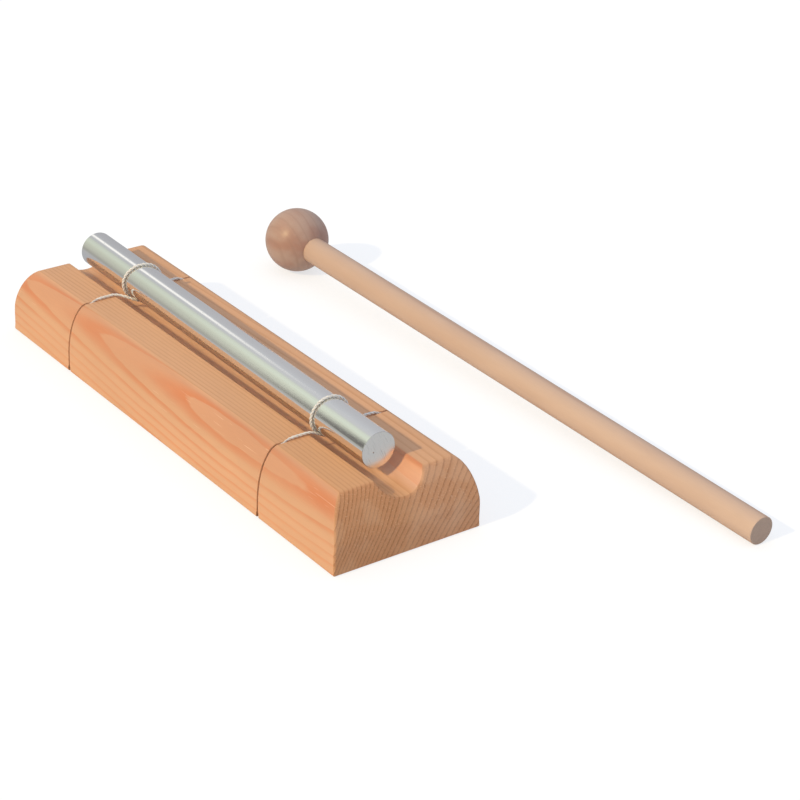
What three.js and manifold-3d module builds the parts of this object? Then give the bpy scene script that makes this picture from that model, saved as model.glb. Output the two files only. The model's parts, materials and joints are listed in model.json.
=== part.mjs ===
// Chime bar: a softwood block carries one solid aluminium rod in two loops of twisted cord, and a
// wooden mallet lies beside it. Millimetres, +Z up, +X along the bar, the origin at the middle of
// the block's underside.
import * as THREE from "three";
import { mergeVertices } from "three/addons/utils/BufferGeometryUtils.js";
import Module from "manifold-3d";

// Driving dimensions, in millimetres unless the name says otherwise
const block = {
  length: 206,
  width: 57,
  height: 24.7,
  sideRun: 8.3, // how far the rounded long shoulder reaches in over the top
  sideRise: 18.6, // and how far it reaches down the side
  sideRoundness: 2.08,
  endRun: 7.4,
  endRise: 14.9,
  endRoundness: 1.36,
  grooveRoom: 3.65, // between the rod's side and the groove's wall
  grooveFloorGap: 4.3, // between the rod's underside and the groove's floor
  grooveShift: 0.35, // the groove's middle, across from the block's middle
};
const rod = {
  diameter: 12.7,
  length: 179.6,
  sink: 1.9, // how far the rod's underside hangs below the block's flat top
  shift: -2.9, // the rod's middle, along the bar from the block's middle
  yawDegrees: -0.62,
  chamfer: 0.4,
};
const cord = {
  diameter: 1,
  clearance: 0.25, // between the rod and the cord wound on it
  wrapStartDegrees: 236, // where the lead meets the rod, from +Y round over the top
  kerfWidth: 0.7,
  kerfDepth: 2.2,
  kerfGap: 0.1,
  bedDepth: 1.1, // the cord's centre under the wood's surface while it is in the kerf
  channelWidth: 1.4,
  channelDepth: 2,
  channelGap: 0.3,
  cornerRadius: 1,
  knotRadius: 2,
  pocketRadius: 3.4,
  pocketDepth: 5,
};
// The lead from the kerf in over the flat to the groove: how far out from the groove's edge, as
// shares of the flat's width, and how far above the flat, as shares of the cord's diameter
const leadShares = [
  [1.0, -1.0],
  [0.9, -0.55],
  [0.8, 0.02],
  [0.7, 0.5],
  [0.57, 0.7],
  [0.42, 0.74],
  [0.26, 0.74],
  [0.09, 0.71],
  [-0.08, 0.42],
];
const flatLeadShare = 0.6; // the kerf runs out here, and the cord has its full width from here inwards
const bendShare = 0.09; // and turns towards the loop's end from here
// Each sling: its kerf in from the rod's end, its loop on from the kerf, how far the loop leans along the
// rod either way, and where round the rod, from its top, and over how wide a turn it crosses over
const nearSling = { kerfInset: 27, loopShift: -0.5, lean: 0.8, leanDegrees: 20, leanSpread: 70 };
const farSling = { kerfInset: 30.5, loopShift: 2.2, lean: 2, leanDegrees: 30, leanSpread: 60 };
const mallet = {
  headDiameter: 24.6,
  shaftDiameter: 10,
  reach: 253.1, // from the head's centre to the shaft's free end
  socketDepth: 14,
  socketGap: 0.15,
  socketEndGap: 0.3,
  standOff: 60.7, // from the block's side to the head's centre
  headInset: 10.8, // from the block's far end to the head's centre, along the bar
  yawDegrees: 1.75,
};
const finish = { overrun: 1, weld: 0.0001 };
const steps = {
  sideShoulder: 14,
  endShoulder: 10,
  groove: 20,
  rod: 64,
  shaft: 40,
  head: 18,
  cordSides: 6,
  loopDegrees: 15,
  curve: 800,
};
const cordPitch = 1.8; // between the rings of a cord's solid
const fullTurn = 360;
const topDegrees = 90; // the rod's top, from +Y

const halfLength = block.length / 2;
const halfWidth = block.width / 2;
const rodRadius = rod.diameter / 2;
const cordRadius = cord.diameter / 2;
const rodHeight = block.height - rod.sink + rodRadius;
const rodYaw = THREE.MathUtils.degToRad(rod.yawDegrees);
const grooveRadius = rodRadius + block.grooveRoom;
const grooveCentre = block.height - rod.sink - block.grooveFloorGap + grooveRadius;
const grooveHalf = Math.sqrt(grooveRadius ** 2 - (grooveCentre - block.height) ** 2);
const nearKerf = rod.shift + rod.length / 2 - nearSling.kerfInset;
const farKerf = rod.shift - rod.length / 2 + farSling.kerfInset;
const cordStations = [
  { name: "near_cord", kerf: nearKerf, loop: nearKerf + nearSling.loopShift, sling: nearSling },
  { name: "far_cord", kerf: farKerf, loop: farKerf + farSling.loopShift, sling: farSling },
];

const wasm = await Module();
wasm.setup();

// Joining and cutting: a closed geometry becomes a solid, and a solid becomes a geometry again
function solid(geometry) {
  const bare = geometry.index ? geometry.toNonIndexed() : geometry.clone();
  bare.deleteAttribute("normal");
  bare.deleteAttribute("uv");
  const merged = mergeVertices(bare, finish.weld);
  return new wasm.Manifold(new wasm.Mesh({
    numProp: 3,
    vertProperties: merged.attributes.position.array,
    triVerts: new Uint32Array(merged.index.array),
  }));
}

function geometryOf(shape) {
  const made = shape.getMesh();
  const geometry = new THREE.BufferGeometry();
  geometry.setAttribute("position", new THREE.BufferAttribute(Float32Array.from(made.vertProperties), 3));
  geometry.setIndex(new THREE.BufferAttribute(Uint32Array.from(made.triVerts), 1));
  const flat = geometry.toNonIndexed();
  flat.computeVertexNormals();
  return flat;
}

// How far out the groove's edge lies on one side, and how wide the flat beside it is
function grooveEdge(side) {
  return grooveHalf + side * block.grooveShift;
}

function flatWidth(side) {
  return halfWidth - block.sideRun - grooveEdge(side);
}

// A quarter of a superellipse, from the side's foot of the rounding to the flat top.
// Each point is how far it lies in from the side, and how far below the top.
function shoulderCurve(run, rise, roundness, count) {
  return Array.from({ length: count + 1 }, (_, i) => {
    const turn = (Math.PI / 2) * (i / count);
    const out = i === count ? 0 : Math.cos(turn) ** (2 / roundness);
    const up = Math.sin(turn) ** (2 / roundness);
    return [run * (1 - out), rise * (1 - up)];
  });
}

// The block's cross-section, moved in from its outside by a depth, as points from the right foot
// over the top to the left foot
function crossSection(depth, foot) {
  const curve = shoulderCurve(block.sideRun, block.sideRise, block.sideRoundness, steps.sideShoulder);
  const right = curve.map(([inward, down]) => [halfWidth - inward, block.height - down]);
  const moved = right.map((point, i) => {
    const before = right[Math.max(i - 1, 0)];
    const after = right[Math.min(i + 1, right.length - 1)];
    const along = i === 0 ? [0, 1] : i === right.length - 1 ? [-1, 0] : [after[0] - before[0], after[1] - before[1]];
    const size = Math.hypot(...along);
    return [point[0] - (depth * along[1]) / size, point[1] + (depth * along[0]) / size];
  });
  const half = [[halfWidth - depth, foot], ...moved];
  return [...half, ...half.map(([y, z]) => [-y, z]).reverse()];
}

// An outline in the YZ plane, drawn out along X between two places
function drawnAlongX(points, from, to) {
  const shape = new THREE.Shape(points.map(([y, z]) => new THREE.Vector2(y, z)));
  const drawn = new THREE.ExtrudeGeometry(shape, { depth: to - from, bevelEnabled: false });
  const axes = new THREE.Matrix4().makeBasis(
    new THREE.Vector3(0, 1, 0),
    new THREE.Vector3(0, 0, 1),
    new THREE.Vector3(1, 0, 0),
  );
  return drawn.applyMatrix4(axes).translate(from, 0, 0);
}

// An outline in the XZ plane, drawn out across the block
function drawnAcross(points, halfSpan) {
  const shape = new THREE.Shape(points.map(([x, z]) => new THREE.Vector2(x, z)));
  const drawn = new THREE.ExtrudeGeometry(shape, { depth: 2 * halfSpan, bevelEnabled: false });
  return drawn.rotateX(Math.PI / 2).translate(0, halfSpan, 0);
}

function box(width, depth, height, x, y, z) {
  return new THREE.BoxGeometry(width, depth, height).translate(x, y, z);
}

function grooveOutline() {
  const sweep = Math.asin(grooveHalf / grooveRadius);
  const arc = Array.from({ length: steps.groove + 1 }, (_, i) => {
    const turn = -sweep + (2 * sweep * i) / steps.groove;
    return [block.grooveShift + grooveRadius * Math.sin(turn), grooveCentre - grooveRadius * Math.cos(turn)];
  });
  const above = block.height + finish.overrun;
  return [...arc, [grooveEdge(1), above], [-grooveEdge(-1), above]];
}

function endOutline() {
  const curve = shoulderCurve(block.endRun, block.endRise, block.endRoundness, steps.endShoulder);
  const near = curve.map(([inward, down]) => [halfLength - inward, block.height - down]);
  return [[halfLength, 0], ...near, ...near.map(([x, z]) => [-x, z]).reverse(), [-halfLength, 0]];
}

// The wood that a kerf leaves above its own depth: its floor rises over each flat and runs out
function runOutOutline() {
  const flatEnd = halfWidth - block.sideRun;
  const kerfEnd = (side) => grooveEdge(side) + flatLeadShare * flatWidth(side);
  const floor = block.height - cord.kerfDepth;
  const above = block.height + finish.overrun;
  return [[flatEnd, floor], [kerfEnd(1), block.height], [kerfEnd(1), above], [-kerfEnd(-1), above],
    [-kerfEnd(-1), block.height], [-flatEnd, floor]];
}

// The saw kerf that goes up the block's sides and over its shoulders, and the channel and pocket under it
function cordCuts(station) {
  const slab = solid(box(cord.kerfWidth, block.width + finish.overrun, block.height + finish.overrun,
    station.kerf, 0, (block.height + finish.overrun) / 2));
  const kept = [crossSection(cord.kerfDepth, -finish.overrun), runOutOutline()].map((outline) => (
    solid(drawnAlongX(outline, station.kerf - cord.kerfWidth, station.kerf + cord.kerfWidth))));
  const core = kept[0].add(kept[1]);
  const channel = solid(box(cord.channelWidth, block.width + finish.overrun, cord.channelDepth + finish.overrun,
    station.kerf, 0, (cord.channelDepth - finish.overrun) / 2));
  const pocketHeight = cord.pocketDepth + finish.overrun;
  const pocket = solid(new THREE.CylinderGeometry(cord.pocketRadius, cord.pocketRadius, pocketHeight, steps.head)
    .rotateX(Math.PI / 2).translate(station.kerf, 0, cord.pocketDepth - pocketHeight / 2));
  return slab.subtract(core).add(channel).add(pocket);
}

function blockGeometry() {
  const reach = halfLength + finish.overrun;
  let shape = solid(drawnAlongX(crossSection(0, 0), -reach, reach));
  shape = shape.intersect(solid(drawnAcross(endOutline(), halfWidth + finish.overrun)));
  shape = shape.subtract(solid(drawnAlongX(grooveOutline(), -reach, reach)));
  for (const station of cordStations) shape = shape.subtract(cordCuts(station));
  return geometryOf(shape);
}

// A bar turned about X from a profile of [distance along, radius] pairs that starts and ends on the axis
function turned(profile, count) {
  const points = profile.map(([along, radius]) => new THREE.Vector2(radius, along));
  return new THREE.LatheGeometry(points, count).rotateZ(-Math.PI / 2);
}

function rodGeometry() {
  const half = rod.length / 2;
  const face = rodRadius - rod.chamfer;
  return turned([[-half, 0], [-half, face], [rod.chamfer - half, rodRadius],
    [half - rod.chamfer, rodRadius], [half, face], [half, 0]], steps.rod);
}

// The loop: one full turn and the stretch between the two leads, leaning along the rod as it goes over
function cordLoop(station, rodY) {
  const { lean, leanDegrees, leanSpread } = station.sling;
  const radius = rodRadius + cord.clearance + cordRadius;
  const start = cord.wrapStartDegrees - fullTurn - topDegrees;
  const sweep = -2 * start;
  const count = Math.round(sweep / steps.loopDegrees);
  return Array.from({ length: count + 1 }, (_, i) => {
    const fromTop = start + (sweep * i) / count;
    const angle = THREE.MathUtils.degToRad(fromTop + topDegrees);
    return new THREE.Vector3(station.loop - lean * Math.tanh((fromTop - leanDegrees) / leanSpread),
      rodY + radius * Math.cos(angle), rodHeight + radius * Math.sin(angle));
  });
}

// One side of a cord, from the knot out along the channel, up the kerf and over to the loop's end
function cordSide(station, side, loopEnd) {
  const bed = cord.channelDepth / 2;
  const wall = halfWidth - cord.bedDepth;
  const points = [[0, bed], [wall / 3, bed], [(2 * wall) / 3, bed], [wall - cord.cornerRadius, bed],
    [wall, bed + cord.cornerRadius]];
  const section = crossSection(cord.bedDepth, 0).slice(1, steps.sideShoulder + 2);
  const outAt = (share) => grooveEdge(side) + share * flatWidth(side);
  const leadStart = outAt(leadShares[0][0]);
  points.push(...section.filter(([y, z]) => z > bed + 2 * cord.cornerRadius && y > leadStart + cord.diameter));
  points.push(...leadShares.map(([out, up]) => [outAt(out), block.height + up * cord.diameter]));
  const bend = outAt(bendShare);
  return points.map(([y, z]) => {
    const share = z > block.height ? (bend - y) / (bend - Math.abs(loopEnd.y)) : 0;
    return new THREE.Vector3(THREE.MathUtils.lerp(station.kerf, loopEnd.x, THREE.MathUtils.smoothstep(share, 0, 1)),
      y * side, z);
  });
}

// How wide the cord is at a point of its route: pressed flat in the kerf and the channel, else round
function halfWidthAt(point) {
  const out = Math.abs(point.y);
  if (point.z < cord.channelDepth) {
    const corner = halfWidth - cord.bedDepth - 2 * cord.cornerRadius;
    return out < corner ? cord.channelWidth / 2 - cord.channelGap : cord.kerfWidth / 2 - cord.kerfGap;
  }
  const side = Math.sign(point.y);
  const fullFrom = grooveEdge(side) + flatLeadShare * flatWidth(side);
  const free = THREE.MathUtils.clamp((fullFrom - out) / cord.diameter + 1, 0, 1);
  return THREE.MathUtils.lerp(cord.kerfWidth / 2 - cord.kerfGap, cordRadius, free);
}

// A closed tube along a curve, with flat caps, from rings whose width may change
function tubeAlong(curve, count) {
  const sides = steps.cordSides;
  const positions = [];
  const index = [];
  for (let i = 0; i <= count; i += 1) {
    const centre = curve.getPointAt(i / count);
    const along = curve.getTangentAt(i / count);
    const across = new THREE.Vector3(1, 0, 0).addScaledVector(along, -along.x).normalize();
    const out = new THREE.Vector3().crossVectors(along, across);
    const wide = halfWidthAt(centre);
    for (let k = 0; k < sides; k += 1) {
      const turn = (2 * Math.PI * (k + 0.5)) / sides;
      const point = centre.clone().addScaledVector(across, wide * Math.cos(turn))
        .addScaledVector(out, cordRadius * Math.sin(turn));
      positions.push(point.x, point.y, point.z);
    }
  }
  for (let i = 0; i < count; i += 1) {
    for (let k = 0; k < sides; k += 1) {
      const a = i * sides + k;
      const b = i * sides + ((k + 1) % sides);
      index.push(a, b, b + sides, a, b + sides, a + sides);
    }
  }
  for (let k = 1; k < sides - 1; k += 1) {
    index.push(0, k + 1, k);
    const last = count * sides;
    index.push(last, last + k, last + k + 1);
  }
  const geometry = new THREE.BufferGeometry();
  geometry.setAttribute("position", new THREE.Float32BufferAttribute(positions, 3));
  geometry.setIndex(index);
  return geometry;
}

// The least clear space between a cord and itself, measured between points half a turn or more apart
function leastGap(curve) {
  const points = curve.getSpacedPoints(Math.round(curve.getLength() / cordRadius));
  const apart = Math.round((Math.PI * rodRadius) / cordRadius);
  let least = Infinity;
  for (let i = 0; i < points.length; i += 1) {
    for (let k = i + apart; k < points.length; k += 1) least = Math.min(least, points[i].distanceTo(points[k]));
  }
  return least - cord.diameter;
}

function cordGeometry(station) {
  const rodY = Math.tan(rodYaw) * (station.loop - rod.shift);
  const loop = cordLoop(station, rodY);
  const left = cordSide(station, -1, loop[0]);
  const right = cordSide(station, 1, loop[loop.length - 1]).slice(1).reverse();
  const curve = new THREE.CatmullRomCurve3([...left, ...loop, ...right], false, "centripetal");
  curve.arcLengthDivisions = steps.curve;
  const free = new THREE.CatmullRomCurve3([...left.slice(-leadShares.length), ...loop,
    ...right.slice(0, leadShares.length)], false, "centripetal");
  console.log(station.name, "length", curve.getLength().toFixed(1), "mm, least gap to itself",
    leastGap(free).toFixed(2), "mm");
  const tube = solid(tubeAlong(curve, Math.round(curve.getLength() / cordPitch)));
  const knot = solid(new THREE.SphereGeometry(cord.knotRadius, steps.head / 2, steps.head / 3)
    .translate(station.kerf, 0, cord.pocketDepth / 2));
  return geometryOf(tube.add(knot));
}

// The mallet's head, a ball with a blind socket, centred at its own origin with the socket towards +X
function headGeometry() {
  const radius = mallet.headDiameter / 2;
  const bore = mallet.shaftDiameter / 2 + mallet.socketGap;
  const mouth = Math.acos(bore / radius);
  const ball = Array.from({ length: steps.head + 1 }, (_, i) => {
    const turn = -Math.PI / 2 + ((Math.PI / 2 + mouth) * i) / steps.head;
    return [radius * Math.sin(turn), i === 0 ? 0 : radius * Math.cos(turn)];
  });
  const socketEnd = radius * Math.sin(mouth) - mallet.socketDepth;
  return turned([...ball, [socketEnd, bore], [socketEnd, 0]], steps.shaft);
}

function shaftGeometry() {
  const radius = mallet.shaftDiameter / 2;
  const headRadius = mallet.headDiameter / 2;
  const mouth = Math.sqrt(headRadius ** 2 - (radius + mallet.socketGap) ** 2);
  const start = mouth - mallet.socketDepth + mallet.socketEndGap;
  return turned([[start, 0], [start, radius], [mallet.reach, radius], [mallet.reach, 0]], steps.shaft);
}

const finishes = {
  pine: new THREE.MeshStandardMaterial({ color: 0xd9a06f, roughness: 0.55, metalness: 0 }),
  aluminium: new THREE.MeshStandardMaterial({ color: 0xc9cad0, roughness: 0.18, metalness: 1 }),
  cord: new THREE.MeshStandardMaterial({ color: 0xd8cfc2, roughness: 0.9, metalness: 0 }),
  headWood: new THREE.MeshStandardMaterial({ color: 0xa9765a, roughness: 0.45, metalness: 0 }),
  shaftWood: new THREE.MeshStandardMaterial({ color: 0xdcb48c, roughness: 0.6, metalness: 0 }),
};

function piece(name, geometry, material) {
  const mesh = new THREE.Mesh(geometry, material);
  mesh.name = name;
  return mesh;
}

const chimeBar = new THREE.Group();
chimeBar.add(piece("base_block", blockGeometry(), finishes.pine));

const rodMesh = piece("chime_rod", rodGeometry(), finishes.aluminium);
rodMesh.position.set(rod.shift, 0, rodHeight);
rodMesh.rotation.z = rodYaw;
chimeBar.add(rodMesh);

for (const station of cordStations) {
  chimeBar.add(piece(station.name, cordGeometry(station), finishes.cord));
}

// The mallet lies on its head and on the lower edge of its shaft's free end
const malletGroup = new THREE.Group();
const headRadius = mallet.headDiameter / 2;
malletGroup.add(piece("mallet_head", headGeometry(), finishes.headWood));
malletGroup.add(piece("mallet_shaft", shaftGeometry(), finishes.shaftWood));
malletGroup.rotation.order = "ZYX";
malletGroup.rotation.z = THREE.MathUtils.degToRad(mallet.yawDegrees);
malletGroup.rotation.y = Math.asin((headRadius - mallet.shaftDiameter / 2) / mallet.reach);
malletGroup.position.set(mallet.headInset - halfLength, halfWidth + mallet.standOff, headRadius);
chimeBar.add(malletGroup);

export default chimeBar;
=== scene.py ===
"""Chime bar: the looks of a wooden block with one aluminium rod in two cord slings, and its mallet.

Every shape is a surface worked out as whole arrays, in metres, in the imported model's own frame.
Finishes are node trees, and their patterns are read in millimetres.
"""

from __future__ import annotations

import json
import logging
import math
from dataclasses import dataclass, field
from enum import Enum

import bmesh
import bpy
import numpy as np
from mathutils import Matrix, Vector


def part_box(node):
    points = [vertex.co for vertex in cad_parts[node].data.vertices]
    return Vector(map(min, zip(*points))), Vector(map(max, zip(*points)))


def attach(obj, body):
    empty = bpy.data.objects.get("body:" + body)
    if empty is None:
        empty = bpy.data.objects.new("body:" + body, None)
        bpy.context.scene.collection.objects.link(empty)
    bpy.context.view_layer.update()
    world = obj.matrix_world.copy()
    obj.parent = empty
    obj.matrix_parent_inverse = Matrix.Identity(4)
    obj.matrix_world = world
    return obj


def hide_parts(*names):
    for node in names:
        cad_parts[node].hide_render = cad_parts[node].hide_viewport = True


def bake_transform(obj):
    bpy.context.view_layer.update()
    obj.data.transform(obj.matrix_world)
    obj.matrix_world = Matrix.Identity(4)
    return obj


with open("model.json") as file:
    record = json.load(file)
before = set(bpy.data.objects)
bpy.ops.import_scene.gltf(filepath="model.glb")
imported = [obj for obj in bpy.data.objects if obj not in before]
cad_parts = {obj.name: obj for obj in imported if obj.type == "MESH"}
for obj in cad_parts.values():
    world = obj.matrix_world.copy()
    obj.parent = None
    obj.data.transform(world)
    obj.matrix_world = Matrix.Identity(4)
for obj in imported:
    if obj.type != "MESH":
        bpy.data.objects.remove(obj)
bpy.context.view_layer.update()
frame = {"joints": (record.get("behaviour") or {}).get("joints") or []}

log = logging.getLogger("chime_bar")
MM = 0.001
TWIST_MAP = "twist"
NEAR_KERF = 59.9 * MM
FAR_KERF = -62.2 * MM

Colour = tuple[float, float, float]
Mesh = tuple[np.ndarray, np.ndarray]

WHITE = (1.0, 1.0, 1.0)
# The lathe needs an axis that isn't quite upright, to tell its two side directions by.
ALMOST_UP = Vector((0, 1e-9, 1))


def linear(red: float, green: float, blue: float) -> Colour:
    """Turns a colour as a picture shows it, 0 to 255, into the linear light that shaders use.

    Args:
        red, green, blue: the colour's parts, 0 to 255.

    Returns:
        The three parts, 0 to 1, each ((c / 255 + 0.055) / 1.055) to the power 2.4.
    """
    shown = np.array([red, green, blue]) / 255
    light = np.where(shown <= 0.04045, shown / 12.92, ((shown + 0.055) / 1.055) ** 2.4)
    return tuple(float(part) for part in light)


@dataclass(frozen=True)
class Span:
    """Carries low..high smoothly to start..end, and holds both ends."""

    low: float
    high: float
    start: float = 0.0
    end: float = 1.0


@dataclass(frozen=True)
class Pattern:
    """Soft noise about one half, with its cells per millimetre along and across the grain.

    The depth is how far it runs from its lowest to its highest where it is used as a change.
    """

    along: float
    across: float
    detail: float = 2.0
    roughness: float = 0.5
    depth: float = 1.0


class Signal:
    """A value that runs through a node tree; each sum on it adds the node that works it out."""

    def __init__(self, nodes: Nodes, socket: bpy.types.NodeSocket) -> None:
        """Takes the tree and the output socket that carries the value."""
        self.nodes = nodes
        self.socket = socket

    def __add__(self, other: Value) -> Signal:
        """The sum."""
        return self.nodes.math("ADD", self, other)

    def __sub__(self, other: Value) -> Signal:
        """The difference."""
        return self.nodes.math("SUBTRACT", self, other)

    def __rsub__(self, other: float) -> Signal:
        """A plain number less this value."""
        return self.nodes.math("SUBTRACT", other, self)

    def __mul__(self, other: Value) -> Signal:
        """The product."""
        return self.nodes.math("MULTIPLY", self, other)

    def __truediv__(self, other: Value) -> Signal:
        """The quotient."""
        return self.nodes.math("DIVIDE", self, other)

    def __pow__(self, other: Value) -> Signal:
        """The power."""
        return self.nodes.math("POWER", self, other)

    def __abs__(self) -> Signal:
        """The value without its sign."""
        return self.nodes.math("ABSOLUTE", self)


Value = float | Signal


class Nodes:
    """A node tree, put together one step at a time."""

    def __init__(self, tree: bpy.types.NodeTree) -> None:
        """Takes the tree that the steps go into."""
        self.tree = tree

    def plug(self, socket: bpy.types.NodeSocket, value: Value | tuple) -> None:
        """Feeds an input socket: a signal is linked, and a number or colour is set on it.

        Args:
            socket: the input.
            value: what it takes.
        """
        if isinstance(value, Signal):
            self.tree.links.new(value.socket, socket)
        else:
            is_colour = isinstance(value, tuple) and socket.type == "RGBA"
            socket.default_value = (*value, 1.0) if is_colour else value

    def add(self, kind: str, inputs: dict | None = None, **settings: object) -> bpy.types.Node:
        """Adds a node.

        Args:
            kind: the node's type, without the ShaderNode in front.
            inputs: what its input sockets take, by name or number.
            settings: the node's own settings.

        Returns:
            The new node.
        """
        made = self.tree.nodes.new("ShaderNode" + kind)
        for name, value in settings.items():
            setattr(made, name, value)
        for key, value in (inputs or {}).items():
            self.plug(made.inputs[key], value)
        return made

    def step(self, kind: str, inputs: dict | None = None, output: int | str = 0,
             **settings: object) -> Signal:
        """Adds a node as add() does, and gives one of its outputs, by name or number."""
        return Signal(self, self.add(kind, inputs, **settings).outputs[output])

    def math(self, operation: str, first: Value, second: Value = 0.0) -> Signal:
        """One sum on numbers, by Blender's name for it."""
        return self.step("Math", {0: first, 1: second}, operation=operation)

    def hypotenuse(self, first: Signal, second: Signal) -> Signal:
        """The square root of the sum of two squares."""
        return self.math("SQRT", first ** 2.0 + second ** 2.0)

    def spread(self, value: Signal, span: Span) -> Signal:
        """The value carried through a span."""
        inputs = {0: value, 1: span.low, 2: span.high, 3: span.start, 4: span.end}
        return self.step("MapRange", inputs, interpolation_type="SMOOTHSTEP")

    def blend(self, share: Value, first: Value, second: Value) -> Signal:
        """Two numbers mixed by a share."""
        return self.step("Mix", {0: share, 2: first, 3: second})

    def mix(self, share: Value, first: Signal | Colour, second: Signal | Colour, mode: str = "MIX") -> Signal:
        """Two colours mixed by a share."""
        return self.step("Mix", {0: share, 6: first, 7: second}, output=2, data_type="RGBA", blend_type=mode)

    def place(self, centre: tuple = (0, 0, 0), rotation: tuple = (0, 0, 0)) -> Signal:
        """The place on the object in millimetres, from a centre in metres and turned to its axis.

        Args:
            centre: where the pattern has its origin.
            rotation: the turn that turned_to() gives.

        Returns:
            The place.
        """
        where = self.step("TexCoord", output="Object")
        turned = self.step("Mapping", {"Vector": where, "Location": centre, "Rotation": rotation},
                           vector_type="TEXTURE")
        return self.step("Mapping", {"Vector": turned, "Scale": (1 / MM,) * 3})

    def scaled(self, place: Signal, pattern: Pattern) -> Signal:
        """A place scaled to a pattern's cells."""
        scale = (pattern.along, pattern.across, pattern.across)
        return self.step("Mapping", {"Vector": place, "Scale": scale})

    def noise(self, place: Signal, pattern: Pattern) -> Signal:
        """A pattern read at a place."""
        return self.step("TexNoise", {"Vector": self.scaled(place, pattern), "Scale": 1.0,
                                      "Detail": pattern.detail, "Roughness": pattern.roughness})

    def vary(self, noise: Signal, depth: float) -> Signal:
        """Noise about one half, turned into a change about 0."""
        return (noise - 0.5) * depth

    def stray(self, place: Signal, pattern: Pattern) -> Signal:
        """A pattern read at a place, as a change about 0 of the pattern's own depth."""
        return self.vary(self.noise(place, pattern), pattern.depth)

    def ramp(self, value: Signal, stops: list[tuple[float, Colour]]) -> Signal:
        """A colour that runs through the stops as the value runs from 0 to 1.

        Args:
            value: the signal that picks the colour.
            stops: positions from 0 to 1 and their colours.

        Returns:
            The colour.
        """
        made = self.add("ValToRGB", {0: value})
        elements = made.color_ramp.elements
        for index, (position, colour) in enumerate(stops):
            element = elements[index] if index < 2 else elements.new(position)
            element.position = position
            element.color = (*colour, 1.0)
        return Signal(self, made.outputs[0])

    def parts(self, vector: Signal) -> list[Signal]:
        """The three numbers of a vector."""
        return [Signal(self, socket) for socket in self.add("SeparateXYZ", {0: vector}).outputs]

    def vector(self, x: Value = 0.0, y: Value = 0.0, z: Value = 0.0) -> Signal:
        """Three numbers as a vector."""
        return self.step("CombineXYZ", {0: x, 1: y, 2: z})

    def facing(self, direction: Signal | tuple) -> Signal:
        """How squarely the surface faces along a direction of the object, either way, from 0 to 1.

        Args:
            direction: a unit direction, fixed or worked out.

        Returns:
            The share.
        """
        normal = self.step("TexCoord", output="Normal")
        dot = self.step("VectorMath", {0: normal, 1: direction}, output="Value", operation="DOT_PRODUCT")
        return abs(dot)

    def shade(self, colour: Signal | Colour, change: Signal) -> Signal:
        """A colour made brighter or darker by a share of itself."""
        return self.step("VectorMath", {0: colour, 3: change + 1.0}, operation="SCALE")

    def bump(self, height: Signal, distance: float, strength: float = 1.0,
             under: Signal | None = None) -> Signal:
        """A surface normal tilted by a height map, on top of another such normal if one is given.

        Args:
            height: the map.
            distance: how high 1 on the map stands, in metres.
            strength: the share of the tilt that is used.
            under: the normal to start from.

        Returns:
            The tilted normal.
        """
        inputs = {"Height": height, "Distance": distance, "Strength": strength}
        if under is not None:
            inputs["Normal"] = under
        return self.step("Bump", inputs)

    def seen(self) -> Signal:
        """1 for rays from the camera, straight or through glass, else 0."""
        straight = self.step("LightPath", output="Is Camera Ray")
        return self.math("MAXIMUM", straight, self.step("LightPath", output="Is Transmission Ray"))

    def mirrored(self) -> Signal:
        """1 for rays that a shiny surface sends on, else 0."""
        return self.step("LightPath", output="Is Glossy Ray")


class Recipe(Nodes):
    """A material's node tree round a Principled shader."""

    def __init__(self, name: str) -> None:
        """Starts an empty material of that name.

        Args:
            name: the material's name.
        """
        self.material = bpy.data.materials.new(name)
        self.material.use_nodes = True
        super().__init__(self.material.node_tree)
        self.shader = self.tree.nodes["Principled BSDF"]

    def finish(self, **inputs: Value | Colour) -> bpy.types.Material:
        """Feeds the shader's sockets, with underscores for the spaces in their names.

        Args:
            inputs: what each socket takes, by its name.

        Returns:
            The finished material.
        """
        for name, value in inputs.items():
            self.plug(self.shader.inputs[name.replace("_", " ")], value)
        return self.material


def turned_to(axis: Vector) -> tuple[float, float, float]:
    """The turn that takes the object's X direction to an axis, keeping Y level."""
    return (0.0, math.asin(-axis.z), math.atan2(axis.y, axis.x))


def grid_quads(rows: int, columns: int, wrap: bool = False) -> np.ndarray:
    """Joins the points of a grid into quads.

    Args:
        rows, columns: the grid's size; point (i, k) has number i * columns + k.
        wrap: whether the last column is joined to the first.

    Returns:
        An array of corner numbers, four to a quad: (i, k), (i, k + 1), (i + 1, k + 1), (i + 1, k).
    """
    row = np.arange(rows - 1)[:, None] * columns
    column = np.arange(columns if wrap else columns - 1)[None, :]
    after = (column + 1) % columns
    corners = [row + column, row + after, row + columns + after, row + columns + column]
    return np.stack(corners, -1).reshape(-1, 4)


def grid_map(rows: np.ndarray, outermost: np.ndarray, columns: int) -> np.ndarray:
    """The map of a grid whose columns wrap round, one pair for each corner of grid_quads.

    Args:
        rows: the first map value of each row.
        outermost: where on each row the second value is 0, as a share of the way round.
        columns: how many columns there are; the second value grows by 1 round them.

    Returns:
        An array of map values, four pairs to a quad.
    """
    row = np.arange(len(rows) - 1)[:, None]
    column = np.arange(columns)[None, :]
    corners = [(row, column), (row, column + 1), (row + 1, column + 1), (row + 1, column)]
    shape = (len(rows) - 1, columns)
    pairs = [np.stack([np.broadcast_to(rows[i], shape), k / columns - outermost[i]], -1) for i, k in corners]
    return np.stack(pairs, 2).reshape(-1, 4, 2)


def joined(parts: list[Mesh]) -> Mesh:
    """Puts several (points, quads) pairs into one, renumbering the quads.

    Args:
        parts: the pairs.

    Returns:
        One such pair.
    """
    starts = np.cumsum([0] + [len(points) for points, _ in parts[:-1]])
    points = np.concatenate([points for points, _ in parts])
    return points, np.concatenate([quads + start for (_, quads), start in zip(parts, starts)])


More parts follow.
